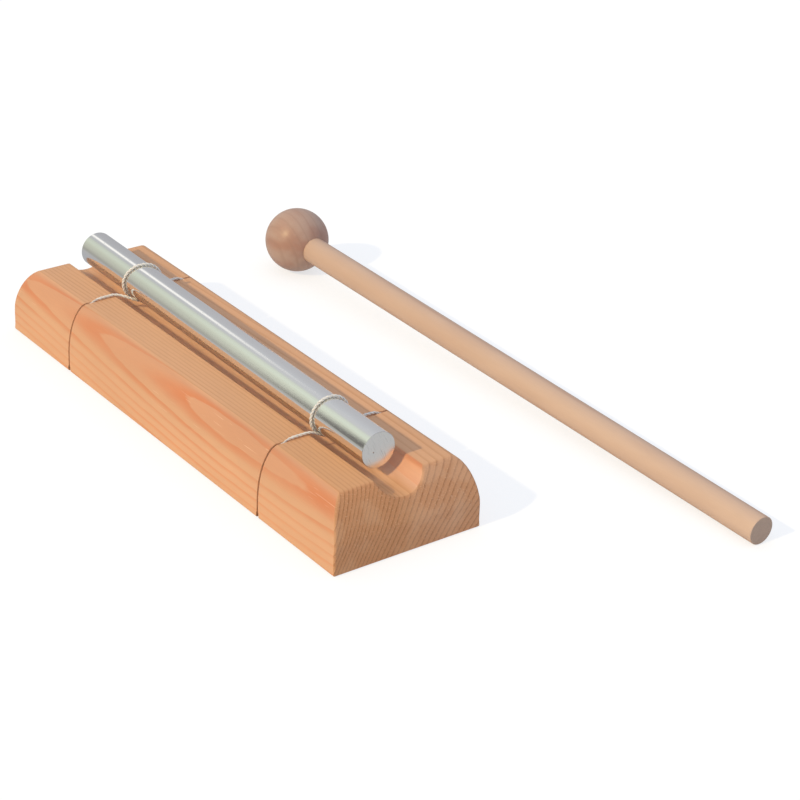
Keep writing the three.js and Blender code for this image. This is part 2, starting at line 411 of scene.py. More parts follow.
def make_object(name: str, points: np.ndarray, quads: np.ndarray, sharp_degrees: float = 35.0,
                weld: float = 0.001 * MM, twist: np.ndarray | None = None) -> bpy.types.Object:
    """Makes a closed mesh object from points and quads.

    Args:
        name: the object's name.
        points: an (n, 3) array in metres.
        quads: corner numbers, four to a face; faces that close up to a line vanish in the weld.
        sharp_degrees: edges bent further than this stay sharp under smooth shading.
        weld: points nearer to each other than this become one.
        twist: map values for the quads' corners, if the piece has a map.

    Returns:
        The new object, at the origin, its faces pointing outwards.
    """
    mesh = bpy.data.meshes.new(name)
    mesh.vertices.add(len(points))
    mesh.vertices.foreach_set("co", np.asarray(points, np.float32).ravel())
    mesh.loops.add(quads.size)
    mesh.loops.foreach_set("vertex_index", np.asarray(quads, np.int32).ravel())
    mesh.polygons.add(len(quads))
    mesh.polygons.foreach_set("loop_start", np.arange(0, quads.size, 4, dtype=np.int32))
    mesh.update(calc_edges=True)
    if twist is not None:
        mesh.uv_layers.new(name=TWIST_MAP).data.foreach_set("uv", np.asarray(twist, np.float32).ravel())
    work = bmesh.new()
    work.from_mesh(mesh)
    bmesh.ops.remove_doubles(work, verts=work.verts, dist=weld)
    bmesh.ops.dissolve_degenerate(work, edges=work.edges, dist=weld / 10)
    bmesh.ops.recalc_face_normals(work, faces=work.faces)
    work.to_mesh(mesh)
    work.free()
    mesh.polygons.foreach_set("use_smooth", np.ones(len(mesh.polygons), bool))
    mesh.set_sharp_from_angle(angle=math.radians(sharp_degrees))
    return placed(name, mesh)


def placed(name: str, data: bpy.types.ID | None) -> bpy.types.Object:
    """Puts a mesh, lamp or camera into the scene as an object of that name.

    Args:
        name: the object's name.
        data: what it shows.

    Returns:
        The new object.
    """
    made = bpy.data.objects.new(name, data)
    bpy.context.scene.collection.objects.link(made)
    return made


def arc(centre: tuple[float, float], radius: float, start: float, end: float, count: int) -> np.ndarray:
    """Points of a circle's arc in a plane, from one angle in degrees to another, both ends included."""
    turn = np.radians(np.linspace(start, end, count))
    return np.column_stack([centre[0] + radius * np.cos(turn), centre[1] + radius * np.sin(turn)])


def lathe(profile: np.ndarray, sides: int, centre: Vector, axis: Vector) -> Mesh:
    """Turns a profile round an axis.

    A point (along, radius) of the profile goes to centre + along * axis + radius * (u cos t + v sin t),
    where u and v stand square to the axis and t runs once round.

    Args:
        profile: an (n, 2) array of distances along the axis and radii, both ends on the axis.
        sides: how many steps go round.
        centre, axis: a point of the axis and its direction.

    Returns:
        The points and the quads.
    """
    along = np.array(axis.normalized())
    side = np.cross([0.0, 0.0, 1.0], along)
    side /= np.linalg.norm(side)
    turn = np.linspace(0, 2 * np.pi, sides, endpoint=False)
    round_it = np.outer(np.cos(turn), side) + np.outer(np.sin(turn), np.cross(along, side))
    points = np.array(centre) + profile[:, None, :1] * along + profile[:, None, 1:] * round_it
    return points.reshape(-1, 3), grid_quads(len(profile), sides, wrap=True)


def dress(piece: bpy.types.Object, material: bpy.types.Material) -> None:
    """Gives a piece its material.

    Args:
        piece: the object.
        material: its finish.
    """
    piece.data.materials.clear()
    piece.data.materials.append(material)


class Side(Enum):
    """The two long sides of the block, by their direction across it."""

    LEFT = -1
    RIGHT = 1


@dataclass(frozen=True)
class RingedWood:
    """Softwood cut from a trunk: growth rings round a pith that lies outside the block.

    Lengths here are in millimetres, because the patterns are read in millimetres.
    """

    early: Colour = linear(216, 164, 123)
    late: Colour = linear(201, 147, 105)
    side_early: Colour = linear(210, 160, 122)
    side_late: Colour = linear(208, 135, 91)
    end_early: Colour = linear(203, 147, 106)
    end_late: Colour = linear(166, 113, 76)
    fleck: Colour = linear(224, 184, 152)
    cut: Colour = linear(216, 160, 122)
    streak: Colour = linear(228, 184, 152)
    speck: Colour = linear(92, 58, 40)
    warm: Colour = (0.95, 0.90, 0.80)
    # Painted light: lifts the shade in the groove under the rod; it also makes the groove's right wall paler.
    paler_wall_and_painted_groove_light: Colour = (1.22, 1.38, 1.58)
    rosy: Colour = (0.99, 0.90, 0.90)
    kerfs: tuple[float, float] = (FAR_KERF / MM, NEAR_KERF / MM)
    kerf_half: float = 0.36
    cut_share: float = 0.8

    pith: tuple[float, float] = (90.1, -48.1)
    ring: float = 2.05
    ring_offset: float = -0.33
    crowd_from: float = 106.0
    crowd_span: float = 18.0
    crowding: float = 0.00728
    bulge: float = 4.5
    bulge_middle: float = 48.0
    bulge_length: float = 140.0
    wander: Pattern = Pattern(0.014, 0.05, detail=1.0, depth=0.6)
    ripple: Pattern = Pattern(0.06, 0.3, depth=0.35)

    darkening: Span = Span(0.3, 0.93)
    break_off: Span = Span(0.94, 1.0, 1.0, 0.0)
    steepness: float = 2.6
    side_softening: Span = Span(9.0, 18.0, 0.2, 1.4)
    uneven: Pattern = Pattern(0.02, 0.12)
    unevenness: Span = Span(0.3, 0.7, 0.5, 1.0)
    foot_strength: Span = Span(4.0, 20.0, 0.72, 1.0)
    groove_fading: float = 0.6
    broken: Pattern = Pattern(1.3, 1.3)
    brokenness: Span = Span(0.36, 0.6, 0.45, 1.0)
    flecks: Pattern = Pattern(2.3, 2.3, detail=1.0)
    fleck_share: Span = Span(0.60, 0.72, 0.0, 0.5)
    haze: Pattern = Pattern(0.11, 0.11)
    haze_share: Span = Span(0.46, 0.68, 0.0, 0.26)

    end_faces: Span = Span(0.2, 0.55)
    side_faces: Span = Span(0.74, 0.94)
    shoulder_faces: Span = Span(0.9, 0.98)
    below_flats: Span = Span(23.2, 24.6, 1.0, 0.0)
    between_lips: Span = Span(9.2, 10.6, 1.0, 0.0)
    under_rod: Span = Span(83.0, 93.0, 1.0, 0.0)
    right_wall: Span = Span(3.0, 6.5, 0.0, 0.9)
    warm_along: Span = Span(10.0, 95.0)
    warm_across: Span = Span(-4.0, 12.0, 1.0, 0.0)
    rosy_height: Span = Span(14.0, 21.0)
    # Painted light on the sides: lighter towards the foot and painted shade towards the shoulder.
    painted_foot_light_and_shoulder_shade: Span = Span(5.0, 21.0, 0.07, -0.06)

    dash: Pattern = Pattern(0.11, 4.2, detail=0.0)
    dash_share: Span = Span(0.74, 0.80)
    dash_place: Pattern = Pattern(0.03, 0.09, detail=0.0)
    dash_place_share: Span = Span(0.50, 0.62, 0.0, 0.7)
    speck_cells: Pattern = Pattern(0.09, 0.14)
    speck_picked: float = 0.72
    speck_share: Span = Span(0.028, 0.04, 0.75, 0.0)

    fibre: Pattern = Pattern(0.22, 7.0, detail=3.0, roughness=0.6, depth=0.20)
    grit: Pattern = Pattern(2.6, 2.6, detail=4.0, roughness=0.7, depth=0.42)
    cloud: Pattern = Pattern(0.02, 0.07, depth=0.16)
    relief_depth: float = 0.05 * MM
    relief_strength: float = 0.6
    ring_depth: float = 0.03 * MM
    ring_strength: float = 0.5
    gloss: Span = Span(0.3, 0.7, 0.5, 0.64)
    shine: float = 0.35

    def rings(self, recipe: Recipe, here: Signal) -> tuple[Signal, Signal]:
        """The growth rings' count at a place, and how squarely the surface faces the pith.

        The rings are circles round the pith, evenly spaced near it and closer together further out; the
        trunk's bulge along the block takes bulge * (1 - exp(-((x - middle) / length) squared)) off the
        distance, and slow noise makes the lines wander.

        Args:
            recipe: the material being made.
            here: the place in millimetres.

        Returns:
            The ring count, and the tangential share from 0 on a radial cut to 1 on a tangential one.
        """
        x, y, z = recipe.parts(here)
        across, up = y - self.pith[0], z - self.pith[1]
        near = recipe.math("EXPONENT", ((x - self.bulge_middle) / self.bulge_length) ** 2.0 * -1.0)
        straight = recipe.hypotenuse(across, up) + (near - 1.0) * self.bulge
        grown = straight + (recipe.stray(here, self.wander) + recipe.stray(here, self.ripple))
        beyond = recipe.math("MAXIMUM", grown - self.crowd_from, 0.0)
        bent = recipe.math("MINIMUM", beyond, self.crowd_span)
        count = grown / self.ring + bent * (beyond * 2.0 - bent) * self.crowding
        outward = recipe.step("VectorMath", {0: recipe.vector(0.0, across, up)}, operation="NORMALIZE")
        return count - self.ring_offset, recipe.facing(outward)

    def late_wood(self, recipe: Recipe, count: Signal, side: Signal, height: Signal) -> Signal:
        """How much of each ring is late wood: it comes on slowly, softer on the sides, and breaks off.

        Args:
            recipe: the material being made.
            count: the ring count.
            side: 1 on the sides, 0 on the flats.
            height: the height over the underside.

        Returns:
            The late wood's share, from 0 to 1.
        """
        phase = recipe.math("FRACT", count)
        steepness = self.steepness - side * recipe.spread(height, self.side_softening)
        return recipe.spread(phase, self.darkening) ** steepness * recipe.spread(phase, self.break_off)

    def hollow(self, recipe: Recipe, here: Signal, end: Signal) -> Signal:
        """1 in the groove under the rod and on its right wall, 0 on the flats, the sides and the ends; it
        places the painted light under the rod.

        Args:
            recipe: the material being made.
            here: the place in millimetres.
            end: 1 on the cut ends.

        Returns:
            The share.
        """
        x, y, z = recipe.parts(here)
        inside = recipe.spread(z, self.below_flats) * recipe.spread(abs(y), self.between_lips) * (1.0 - end)
        under = recipe.spread(abs(x), self.under_rod)
        return inside * recipe.math("MAXIMUM", under, recipe.spread(y, self.right_wall))

    def end_grain(self, recipe: Recipe, here: Signal, late: Signal) -> Signal:
        """The cut ends' colour: broken ring lines, pale flecks and a haze.

        Args:
            recipe: the material being made.
            here: the place in millimetres.
            late: the late wood's share.

        Returns:
            The colour.
        """
        lines = late * recipe.spread(recipe.noise(here, self.broken), self.brokenness)
        flecks = recipe.spread(recipe.noise(here, self.flecks), self.fleck_share)
        haze = recipe.spread(recipe.noise(here, self.haze), self.haze_share)
        ringed = recipe.mix(lines, self.end_early, self.end_late)
        return recipe.mix(recipe.math("MAXIMUM", flecks, haze), ringed, self.fleck)

    def tints(self, recipe: Recipe, here: Signal, colour: Signal, side: Signal, hollow: Signal) -> Signal:
        """The wood's slow changes: warm on the left near one end, rosy at the shoulders, paler on the
        groove's right wall; painted light in the groove under the rod, and on the sides painted light at the
        foot and painted shade near the shoulder.

        Args:
            recipe: the material being made.
            here: the place in millimetres.
            colour: the wood's colour so far.
            side: 1 on the sides, 0 on the flats.
            hollow: 1 in the groove.

        Returns:
            The changed colour.
        """
        x, y, z = recipe.parts(here)
        left = recipe.spread(x, self.warm_along) * recipe.spread(y, self.warm_across) * (1.0 - side)
        colour = recipe.mix(left, colour, self.warm, "MULTIPLY")
        # Painted light in the groove under the rod, and a paler right wall.
        colour = recipe.mix(hollow, colour, self.paler_wall_and_painted_groove_light, "MULTIPLY")
        colour = recipe.mix(recipe.spread(z, self.rosy_height) * side, colour, self.rosy, "MULTIPLY")
        # Painted light and shade up the sides: lighter at the foot, darker near the shoulder.
        return recipe.shade(colour, recipe.spread(z, self.painted_foot_light_and_shoulder_shade) * side)

    def marks(self, recipe: Recipe, here: Signal, colour: Signal, tangential: Signal) -> Signal:
        """Bright short streaks along the shoulder, a few dark specks, and the scorched kerf walls.

        Args:
            recipe: the material being made.
            here: the place in millimetres.
            colour: the wood's colour so far.
            tangential: how squarely the surface faces the pith.

        Returns:
            The changed colour.
        """
        dash = recipe.spread(recipe.noise(here, self.dash), self.dash_share)
        shown = recipe.spread(recipe.noise(here, self.dash_place), self.dash_place_share)
        streak = dash * recipe.spread(tangential, self.shoulder_faces) * shown
        colour = recipe.mix(streak, colour, self.streak)
        cell = {"Vector": recipe.scaled(here, self.speck_cells), "Scale": 1.0}
        chance = recipe.parts(recipe.step("TexVoronoi", cell, output="Color"))[0]
        speck = recipe.spread(recipe.step("TexVoronoi", cell, output="Distance"), self.speck_share)
        speck = speck * recipe.math("GREATER_THAN", chance, self.speck_picked)
        colour = recipe.mix(speck, colour, self.speck)
        along = recipe.parts(here)[0]
        for kerf in self.kerfs:
            inside = recipe.math("LESS_THAN", abs(along - kerf), self.kerf_half)
            colour = recipe.mix(inside * self.cut_share, colour, self.cut)
        return colour

    def material(self) -> bpy.types.Material:
        """Pale early wood that darkens to late wood and breaks off sharply, ring after ring.

        Returns:
            The material.
        """
        recipe = Recipe("block_wood")
        here = recipe.place()
        height = recipe.parts(here)[2]
        count, tangential = self.rings(recipe, here)
        end = recipe.spread(recipe.facing((1.0, 0.0, 0.0)), self.end_faces)
        side = recipe.spread(tangential, self.side_faces)
        late = self.late_wood(recipe, count, side, height)
        hollow = self.hollow(recipe, here, end)
        strength = recipe.spread(recipe.noise(here, self.uneven), self.unevenness)
        strength = strength * recipe.spread(height, self.foot_strength) * (1.0 - hollow * self.groove_fading)
        early = recipe.mix(side, self.early, self.side_early)
        face = recipe.mix(late * strength, early, recipe.mix(side, self.late, self.side_late))
        colour = recipe.mix(end, face, self.end_grain(recipe, here, late))
        colour = self.tints(recipe, here, colour, side * (1.0 - end), hollow)
        fibre, grit = recipe.noise(here, self.fibre), recipe.noise(here, self.grit)
        rough = recipe.blend(end, recipe.vary(fibre, self.fibre.depth), recipe.vary(grit, self.grit.depth))
        colour = recipe.shade(colour, rough + recipe.stray(here, self.cloud))
        colour = self.marks(recipe, here, colour, tangential)
        relief = recipe.blend(end, fibre, grit)
        ridges = recipe.bump(late, self.ring_depth, self.ring_strength)
        normal = recipe.bump(relief, self.relief_depth, self.relief_strength, under=ridges)
        return recipe.finish(Base_Color=colour, Roughness=recipe.spread(relief, self.gloss), Normal=normal,
                             Specular_IOR_Level=self.shine)


@dataclass(frozen=True)
class DrawnAluminium:
    """Drawn aluminium bar: bright, with fine lines along its side, sawn straight across at its ends.

    Lengths here are in millimetres but for the bumps' depth.
    """

    side: Colour = (0.90, 0.905, 0.91)
    sawn: Colour = (0.92, 0.92, 0.88)
    dark: Colour = (0.30, 0.29, 0.28)
    end_faces: Span = Span(0.9, 0.97)
    line: Pattern = Pattern(0.05, 4.0, detail=4.0, roughness=0.65)
    side_roughness: Span = Span(0.3, 0.7, 0.05, 0.13)
    dent: Pattern = Pattern(0.9, 3.0)
    dent_share: Span = Span(0.66, 0.74)
    dent_roughness: float = 0.12
    dent_height: float = 0.8
    saw_direction: tuple[float, float] = (0.898, 0.441)
    saw: Pattern = Pattern(2.2, 0.132, detail=5.0, roughness=0.7, depth=0.15)
    saw_lines: Span = Span(0.54, 0.68, 0.0, -0.3)
    sawn_roughness: float = 0.24
    sawn_up_degrees: float = 7.0
    sawn_left_degrees: float = 3.0
    pit: tuple[float, float] = (-1.93, -0.38)
    pit_radius: float = 0.36
    pit_share: float = 0.85
    pit_height: float = -4.0
    burr: Pattern = Pattern(1.6, 1.6, depth=0.5)
    rim_width: float = 0.18
    rim_share: float = 0.55
    rim_faces: Span = Span(0.2, 0.6)
    relief_depth: float = 0.012 * MM
    relief_strength: float = 0.5

    def material(self, centre: Vector, axis: Vector, radius: float) -> bpy.types.Material:
        """Metal whose side is streaked along the axis and whose ends carry saw lines and one pit.

        The saw left the ends a little out of square, so their shading leans up and to the left.

        Args:
            centre, axis: the bar's middle and direction.
            radius: the bar's radius.

        Returns:
            The material.
        """
        recipe = Recipe("rod_aluminium")
        here = recipe.place(tuple(centre), turned_to(axis))
        _, aside, up = recipe.parts(here)
        faced = recipe.facing(tuple(axis))
        end = recipe.spread(faced, self.end_faces)
        line = recipe.noise(here, self.line)
        dents = recipe.spread(recipe.noise(here, self.dent), self.dent_share)
        cosine, sine = self.saw_direction
        saw = recipe.noise(recipe.vector(aside * cosine + up * sine, up * cosine - aside * sine), self.saw)
        far = recipe.hypotenuse(aside - self.pit[0], up - self.pit[1])
        pit = recipe.spread(far, Span(self.pit_radius / 2, self.pit_radius, 1.0, 0.0)) * end
        edge = recipe.hypotenuse(aside, up) + recipe.stray(here, self.burr)
        rim = recipe.spread(edge, Span(radius / MM - self.rim_width, radius / MM, 0.0, self.rim_share))
        rim = rim * recipe.spread(faced, self.rim_faces)
        lines = recipe.spread(saw, self.saw_lines) + recipe.vary(saw, self.saw.depth)
        metal = recipe.mix(end, self.side, recipe.shade(self.sawn, lines))
        colour = recipe.mix(recipe.math("MAXIMUM", rim, pit * self.pit_share), metal, self.dark)
        drawn = recipe.spread(line, self.side_roughness) + dents * self.dent_roughness
        height = recipe.blend(end, line + dents * self.dent_height, saw) + pit * self.pit_height
        left = math.tan(math.radians(self.sawn_left_degrees))
        rise = math.tan(math.radians(self.sawn_up_degrees))
        leaning = recipe.bump((aside * left - up * rise) * end, MM)
        return recipe.finish(
            Base_Color=colour, Metallic=1.0, Roughness=recipe.blend(end, drawn, self.sawn_roughness),
            Normal=recipe.bump(height, self.relief_depth, self.relief_strength, under=leaning))


@dataclass(frozen=True)
class TwistedFibre:
    """Undyed twisted cord, read on its own map: millimetres along it, and turns round each strand."""

    pale: Colour = linear(246, 243, 238)
    dark: Colour = linear(216, 210, 202)
    # Painted shade on the inner side of each strand, where the strands press together.
    pressed: Colour = linear(204, 198, 188)
    turns_across: float = 9.0
    turns_along: float = 2.4
    fibre: Pattern = Pattern(0.8, 1.6, detail=3.0, roughness=0.6)
    fibre_share: Span = Span(0.35, 0.65)
    inner: Span = Span(-0.2, 0.8, 0.8, 0.0)
    roughness: float = 0.75
    shine: float = 0.3
    sheen: float = 0.25
    fleck: Pattern = Pattern(0.9, 0.9, depth=0.2)
    relief_depth: float = 0.08 * MM
    relief_strength: float = 0.8

    def material(self) -> bpy.types.Material:
        """Fine fibres that wind slowly round each strand, with painted shade where the strands press
        together.

        Returns:
            The material.
        """
        recipe = Recipe("cord_fibre")
        along, around, _ = recipe.parts(recipe.step("UVMap", uv_map=TWIST_MAP))
        wound = around * self.turns_across + along * self.turns_along
        fibre = recipe.noise(recipe.vector(along, wound), self.fibre)
        colour = recipe.mix(recipe.spread(fibre, self.fibre_share), self.dark, self.pale)
        outward = recipe.math("COSINE", around * (2 * math.pi))
        # Painted shade on each strand's inner side, facing the other strand.
        colour = recipe.mix(recipe.spread(outward, self.inner), colour, self.pressed)
        colour = recipe.shade(colour, recipe.stray(recipe.place(), self.fleck))
        return recipe.finish(
            Base_Color=colour, Roughness=self.roughness, Sheen_Weight=self.sheen,
            Normal=recipe.bump(fibre, self.relief_depth, self.relief_strength),
            Specular_IOR_Level=self.shine)


@dataclass(frozen=True)
class TurnedWood:
    """Close-grained wood turned round an axis that its grain follows.

    Lengths are in millimetres. The end share is how much of the end grain a cut end shows: none on a ball.
    """

    name: str
    pale: Colour
    mid: Colour
    dark: Colour
    end: Colour
    pith: tuple[float, float]
    ring: float
    line_share: float
    fibre_depth: float
    gloss: Span
    coat: float = 0.0
    coat_roughness: float = 0.35
    shine: float = 0.4
    end_share: float = 1.0
    wander: Pattern = Pattern(0.02, 0.08, depth=1.5)
    patch: Pattern = Pattern(0.03, 0.14)
    patch_share: Span = Span(0.35, 0.65)
    line_from: float = 0.62
    fibre: Pattern = Pattern(0.16, 4.5, detail=4.0, roughness=0.65)
    grit: Pattern = Pattern(2.4, 2.4, detail=4.0, roughness=0.75, depth=0.5)
    end_faces: Span = Span(0.93, 0.995)
    relief_depth: float = 0.03 * MM
    relief_strength: float = 0.5

    def material(self, centre: Vector, axis: Vector) -> bpy.types.Material:
        """Soft rings round a pith line beside the axis, fine fibres along it, and plain end grain.

        Args:
            centre, axis: a point of the piece's axis and its direction.

        Returns:
            The material.
        """
        recipe = Recipe(self.name)
        here = recipe.place(tuple(centre), turned_to(axis))
        _, aside, up = recipe.parts(here)
        wander = recipe.stray(here, self.wander) * self.ring
        count = (recipe.hypotenuse(aside - self.pith[0], up - self.pith[1]) + wander) / self.ring
        wave = recipe.math("PINGPONG", count, 1.0)
        line = recipe.spread(wave, Span(self.line_from, 1.0, 0.0, self.line_share))
        patch = recipe.spread(recipe.noise(here, self.patch), self.patch_share)
        fibre, grit = recipe.noise(here, self.fibre), recipe.noise(here, self.grit)
        colour = recipe.mix(line, recipe.mix(patch, self.pale, self.mid), self.dark)
        colour = recipe.shade(colour, recipe.vary(fibre, self.fibre_depth))
        ends = recipe.shade(self.end, recipe.vary(grit, self.grit.depth))
        shown = recipe.spread(recipe.facing(tuple(axis)), self.end_faces) * self.end_share
        return recipe.finish(
            Base_Color=recipe.mix(shown, colour, ends), Roughness=recipe.spread(fibre, self.gloss),
            Normal=recipe.bump(recipe.blend(shown, fibre, grit), self.relief_depth, self.relief_strength),
            Specular_IOR_Level=self.shine, Coat_Weight=self.coat, Coat_Roughness=self.coat_roughness)


@dataclass
class BaseBlock:
    """The wooden block: rounded shoulders, a round groove along its top, two saw kerfs over its sides."""

    side_run: float = 8.3 * MM
    side_rise: float = 18.8 * MM
    side_roundness: float = 2.08
    crown: float = 0.2 * MM
    end_run: float = 7.4 * MM
    end_rise: float = 14.9 * MM
    end_roundness: float = 1.36
    groove_radius: float = 10.0 * MM
    groove_shift: float = 0.35 * MM
    groove_floor: float = 18.5 * MM
    left_lip: float = 1.0 * MM
    right_lip: float = 1.5 * MM
    foot_ease: float = 0.5 * MM
    end_ease: float = 0.8 * MM
    end_foot_ease: float = 0.4 * MM
    kerf_width: float = 0.7 * MM
    kerf_depth: float = 2.2 * MM
    kerf_ease: float = 0.12 * MM
    kerf_end_share: float = 0.6
    channel_width: float = 1.4 * MM
    channel_depth: float = 2.0 * MM
    pocket_radius: float = 3.4 * MM
    pocket_depth: float = 5.0 * MM
    station_step: float = 5.0 * MM
    kerfs: tuple[float, float] = (FAR_KERF, NEAR_KERF)
    groove_steps: int = 44
    lip_steps: int = 14
    shoulder_steps: int = 48
    flat_steps: int = 18
    wall_steps: int = 10
    foot_steps: int = 6
    arris_steps: int = 8
    face_rows: int = 28
    pocket_sides: int = 72
    wood: RingedWood = field(default_factory=RingedWood)

    def __post_init__(self) -> None:
        """Takes the block's length, width and height from the frame."""
        low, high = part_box("base_block")
        self.half_length = (high.x - low.x) / 2
        self.half_width = (high.y - low.y) / 2
        self.height = high.z

    def half_section(self, side: Side) -> np.ndarray:
        """The outline of one half, from the groove's lowest line out over the top to the foot.

        The groove is a circle's arc, a lip's arc meets it and the flat top, the shoulder is a
        superellipse whose peak lies just above the flat, and the side is upright down to the foot.

        Args:
            side: which half.

        Returns:
            An (n, 2) array of places across and up.
        """
        lip = self.left_lip if side is Side.LEFT else self.right_lip
        shift = self.groove_shift * side.value
        centre_z = self.groove_floor + self.groove_radius
        lip_z = self.height - lip
        lip_y = shift + math.sqrt((self.groove_radius + lip) ** 2 - (centre_z - lip_z) ** 2)
        meets = math.degrees(math.atan2(centre_z - lip_z, shift - lip_y))
        groove = arc((shift, centre_z), self.groove_radius, -90, meets - 180, self.groove_steps)
        edge = arc((lip_y, lip_z), lip, meets, 90, self.lip_steps)
        power = 2 / self.side_roundness
        top = math.asin((1 - self.crown / self.side_rise) ** (1 / power))
        turn = np.linspace(top, 0, self.shoulder_steps)
        shoulder = np.column_stack([
            self.half_width - self.side_run * (1 - np.cos(turn) ** power),
            self.height + self.crown - self.side_rise * (1 - np.sin(turn) ** power)])
        flat_y = np.linspace(lip_y, shoulder[0, 0], self.flat_steps)[1:-1]
        flat = np.column_stack([flat_y, np.full_like(flat_y, self.height)])
        wall_z = np.linspace(shoulder[-1, 1], self.foot_ease, self.wall_steps)[1:-1]
        wall = np.column_stack([np.full_like(wall_z, self.half_width), wall_z])
        foot_centre = (self.half_width - self.foot_ease, self.foot_ease)
        foot = arc(foot_centre, self.foot_ease, 0, -90, self.foot_steps)
        half = np.concatenate([groove, edge[1:], flat, shoulder, wall, foot])
        half[:, 0] *= side.value
        return half

    def outline(self) -> tuple[np.ndarray, np.ndarray, np.ndarray]:
        """The whole outline as a closed loop: over the top from foot to foot, and back underneath.

        Returns:
            The loop's places across and up, the unit direction into the wood at each, and how many
            of them lie above the underside.
        """
        left, right = self.half_section(Side.LEFT), self.half_section(Side.RIGHT)
        upper = np.concatenate([left[::-1], right[1:]])
        step = np.linalg.norm(np.diff(upper, axis=0), axis=1)
        travelled = np.concatenate([[0], np.cumsum(step)])
        flat_edge = np.abs(left[:, 0]).max() - self.side_run
        inner = np.flatnonzero(np.abs(upper[:, 0]) < flat_edge)
        below = upper[:, 0].copy()
        first, last = inner[0], inner[-1]
        foot = self.half_width - self.foot_ease
        below[:first] = np.interp(travelled[:first], [0, travelled[first]], [-foot, upper[first, 0]])
        below[last + 1:] = np.interp(travelled[last + 1:], [travelled[last], travelled[-1]],
                                     [upper[last, 0], foot])
        under = np.column_stack([below, np.zeros_like(below)])[1:-1][::-1]
        along = np.gradient(upper, axis=0)
        along /= np.linalg.norm(along, axis=1)[:, None]
        inward = np.column_stack([along[:, 1], -along[:, 0]])
        lift = np.tile([0.0, 1.0], (len(under), 1))
        return np.concatenate([upper, under]), np.concatenate([inward, lift]), len(upper)

    def end_reach(self, height: np.ndarray) -> np.ndarray:
        """How far along the block its end lies at a height: a superellipse near the top, else upright.

        Args:
            height: heights over the underside.

        Returns:
            The distances from the block's middle.
        """
        down = np.clip((self.height - height) / self.end_rise, 0, 1)
        sine = (1 - down) ** (self.end_roundness / 2)
        cosine = np.sqrt(np.clip(1 - sine ** 2, 0, 1))
        return self.half_length - self.end_run * (1 - cosine ** (2 / self.end_roundness))

    def end_ring(self, end: int, turn: float, loop: np.ndarray, inward: np.ndarray, upper: int) -> np.ndarray:
        """The outline near an end, drawn in round the eased arris.

        At an arris angle t the outline lies r(1 - cos t) inside the block's surface and r(1 - sin t)
        short of its end, where r is small at the foot.

        Args:
            end: -1 or 1, the end's direction.
            turn: the arris angle, 0 on the long surface to a quarter turn on the end.
            loop, inward, upper: what outline() gives.

        Returns:
            The ring's points.
        """
        grown = np.clip((loop[:, 1] - self.foot_ease) / self.channel_depth, 0, 1)
        ease = self.end_foot_ease + (self.end_ease - self.end_foot_ease) * grown
        ease[upper:] = self.end_foot_ease
        section = loop + inward * (ease * (1 - math.cos(turn)))[:, None]
        along = end * (self.end_reach(section[:, 1]) - ease * (1 - math.sin(turn)))
        return np.column_stack([along, section])

    def groove_edge(self, side: Side) -> float:
        """How far out the groove's edge would meet the flat on one side.

        Args:
            side: which side.

        Returns:
            The distance from the block's middle line.
        """
        above = self.groove_floor + self.groove_radius - self.height
        half = math.sqrt(self.groove_radius ** 2 - above ** 2)
        return half + side.value * self.groove_shift

    def on_flat(self, side: Side, share: float) -> float:
        """A place on a flat, from a share of its width out from the groove's edge."""
        edge = self.groove_edge(side)
        return edge + share * (self.half_width - self.side_run - edge)

    def kerf_depths(self, loop: np.ndarray, upper: int) -> np.ndarray:
        """How deep a kerf goes at each outline point: full over the sides, running out over the flats.

        Args:
            loop, upper: what outline() gives.

        Returns:
            The depths.
        """
        left, right = (self.on_flat(side, self.kerf_end_share) for side in Side)
        edge = np.where(loop[:, 0] < 0, left, right)
        share = np.clip((np.abs(loop[:, 0]) - edge) / (self.half_width - self.side_run - edge), 0, 1)
        share[upper:] = 0
        return self.kerf_depth * share

    def kerf_rings(self, kerf: float, loop: np.ndarray, inward: np.ndarray, upper: int) -> list[np.ndarray]:
        """The rings that form one kerf and the channel under it.

        In the kerf the outline lies kerf_depths inside the block's surface. In the channel nothing lies
        below its depth.

        Args:
            kerf: the kerf's place along the block.
            loop, inward, upper: what outline() gives.

        Returns:
            The rings, from the low side of the kerf to its high side.
        """
        def raised(section: np.ndarray, wall: float) -> np.ndarray:
            """The section with its foot brought up to the channel's roof, at the wall's place.

            Args:
                section: the ring's places across and up.
                wall: how far out the foot's wall stands.

            Returns:
                The changed section.
            """
            low = section[:, 1] < self.channel_depth
            low_wall = low & (np.arange(len(section)) < upper)
            made = section.copy()
            made[low_wall, 0] = np.sign(loop[low_wall, 0]) * wall
            made[low, 1] = self.channel_depth
            return made

        depth = self.kerf_depths(loop, upper)
        deep = loop + inward * depth[:, None]
        shallow = loop + inward * np.minimum(depth, self.kerf_ease)[:, None]
        half, wide = self.kerf_width / 2, self.channel_width / 2
        outer_wall, inner_wall = self.half_width, self.half_width - self.kerf_depth
        low_side = [
            (wide, loop), (wide, raised(loop, outer_wall)), (half + self.kerf_ease, raised(loop, outer_wall)),
            (half, raised(shallow, outer_wall - self.kerf_ease)), (half, raised(deep, inner_wall))]
        both = [(kerf - off, section) for off, section in low_side]
        both += [(kerf + off, section) for off, section in low_side[::-1]]
        return [np.column_stack([np.full(len(loop), along), section]) for along, section in both]

    def between(self, start: np.ndarray, end: np.ndarray) -> list[np.ndarray]:
        """Evenly spaced rings between two rings of the plain section.

        Args:
            start, end: the two rings.

        Returns:
            The rings between them, about station_step apart.
        """
        span = abs(np.mean(end[:, 0] - start[:, 0]))
        shares = np.linspace(0, 1, max(2, round(span / self.station_step)) + 1)[1:-1]
        return [start + (end - start) * share for share in shares]

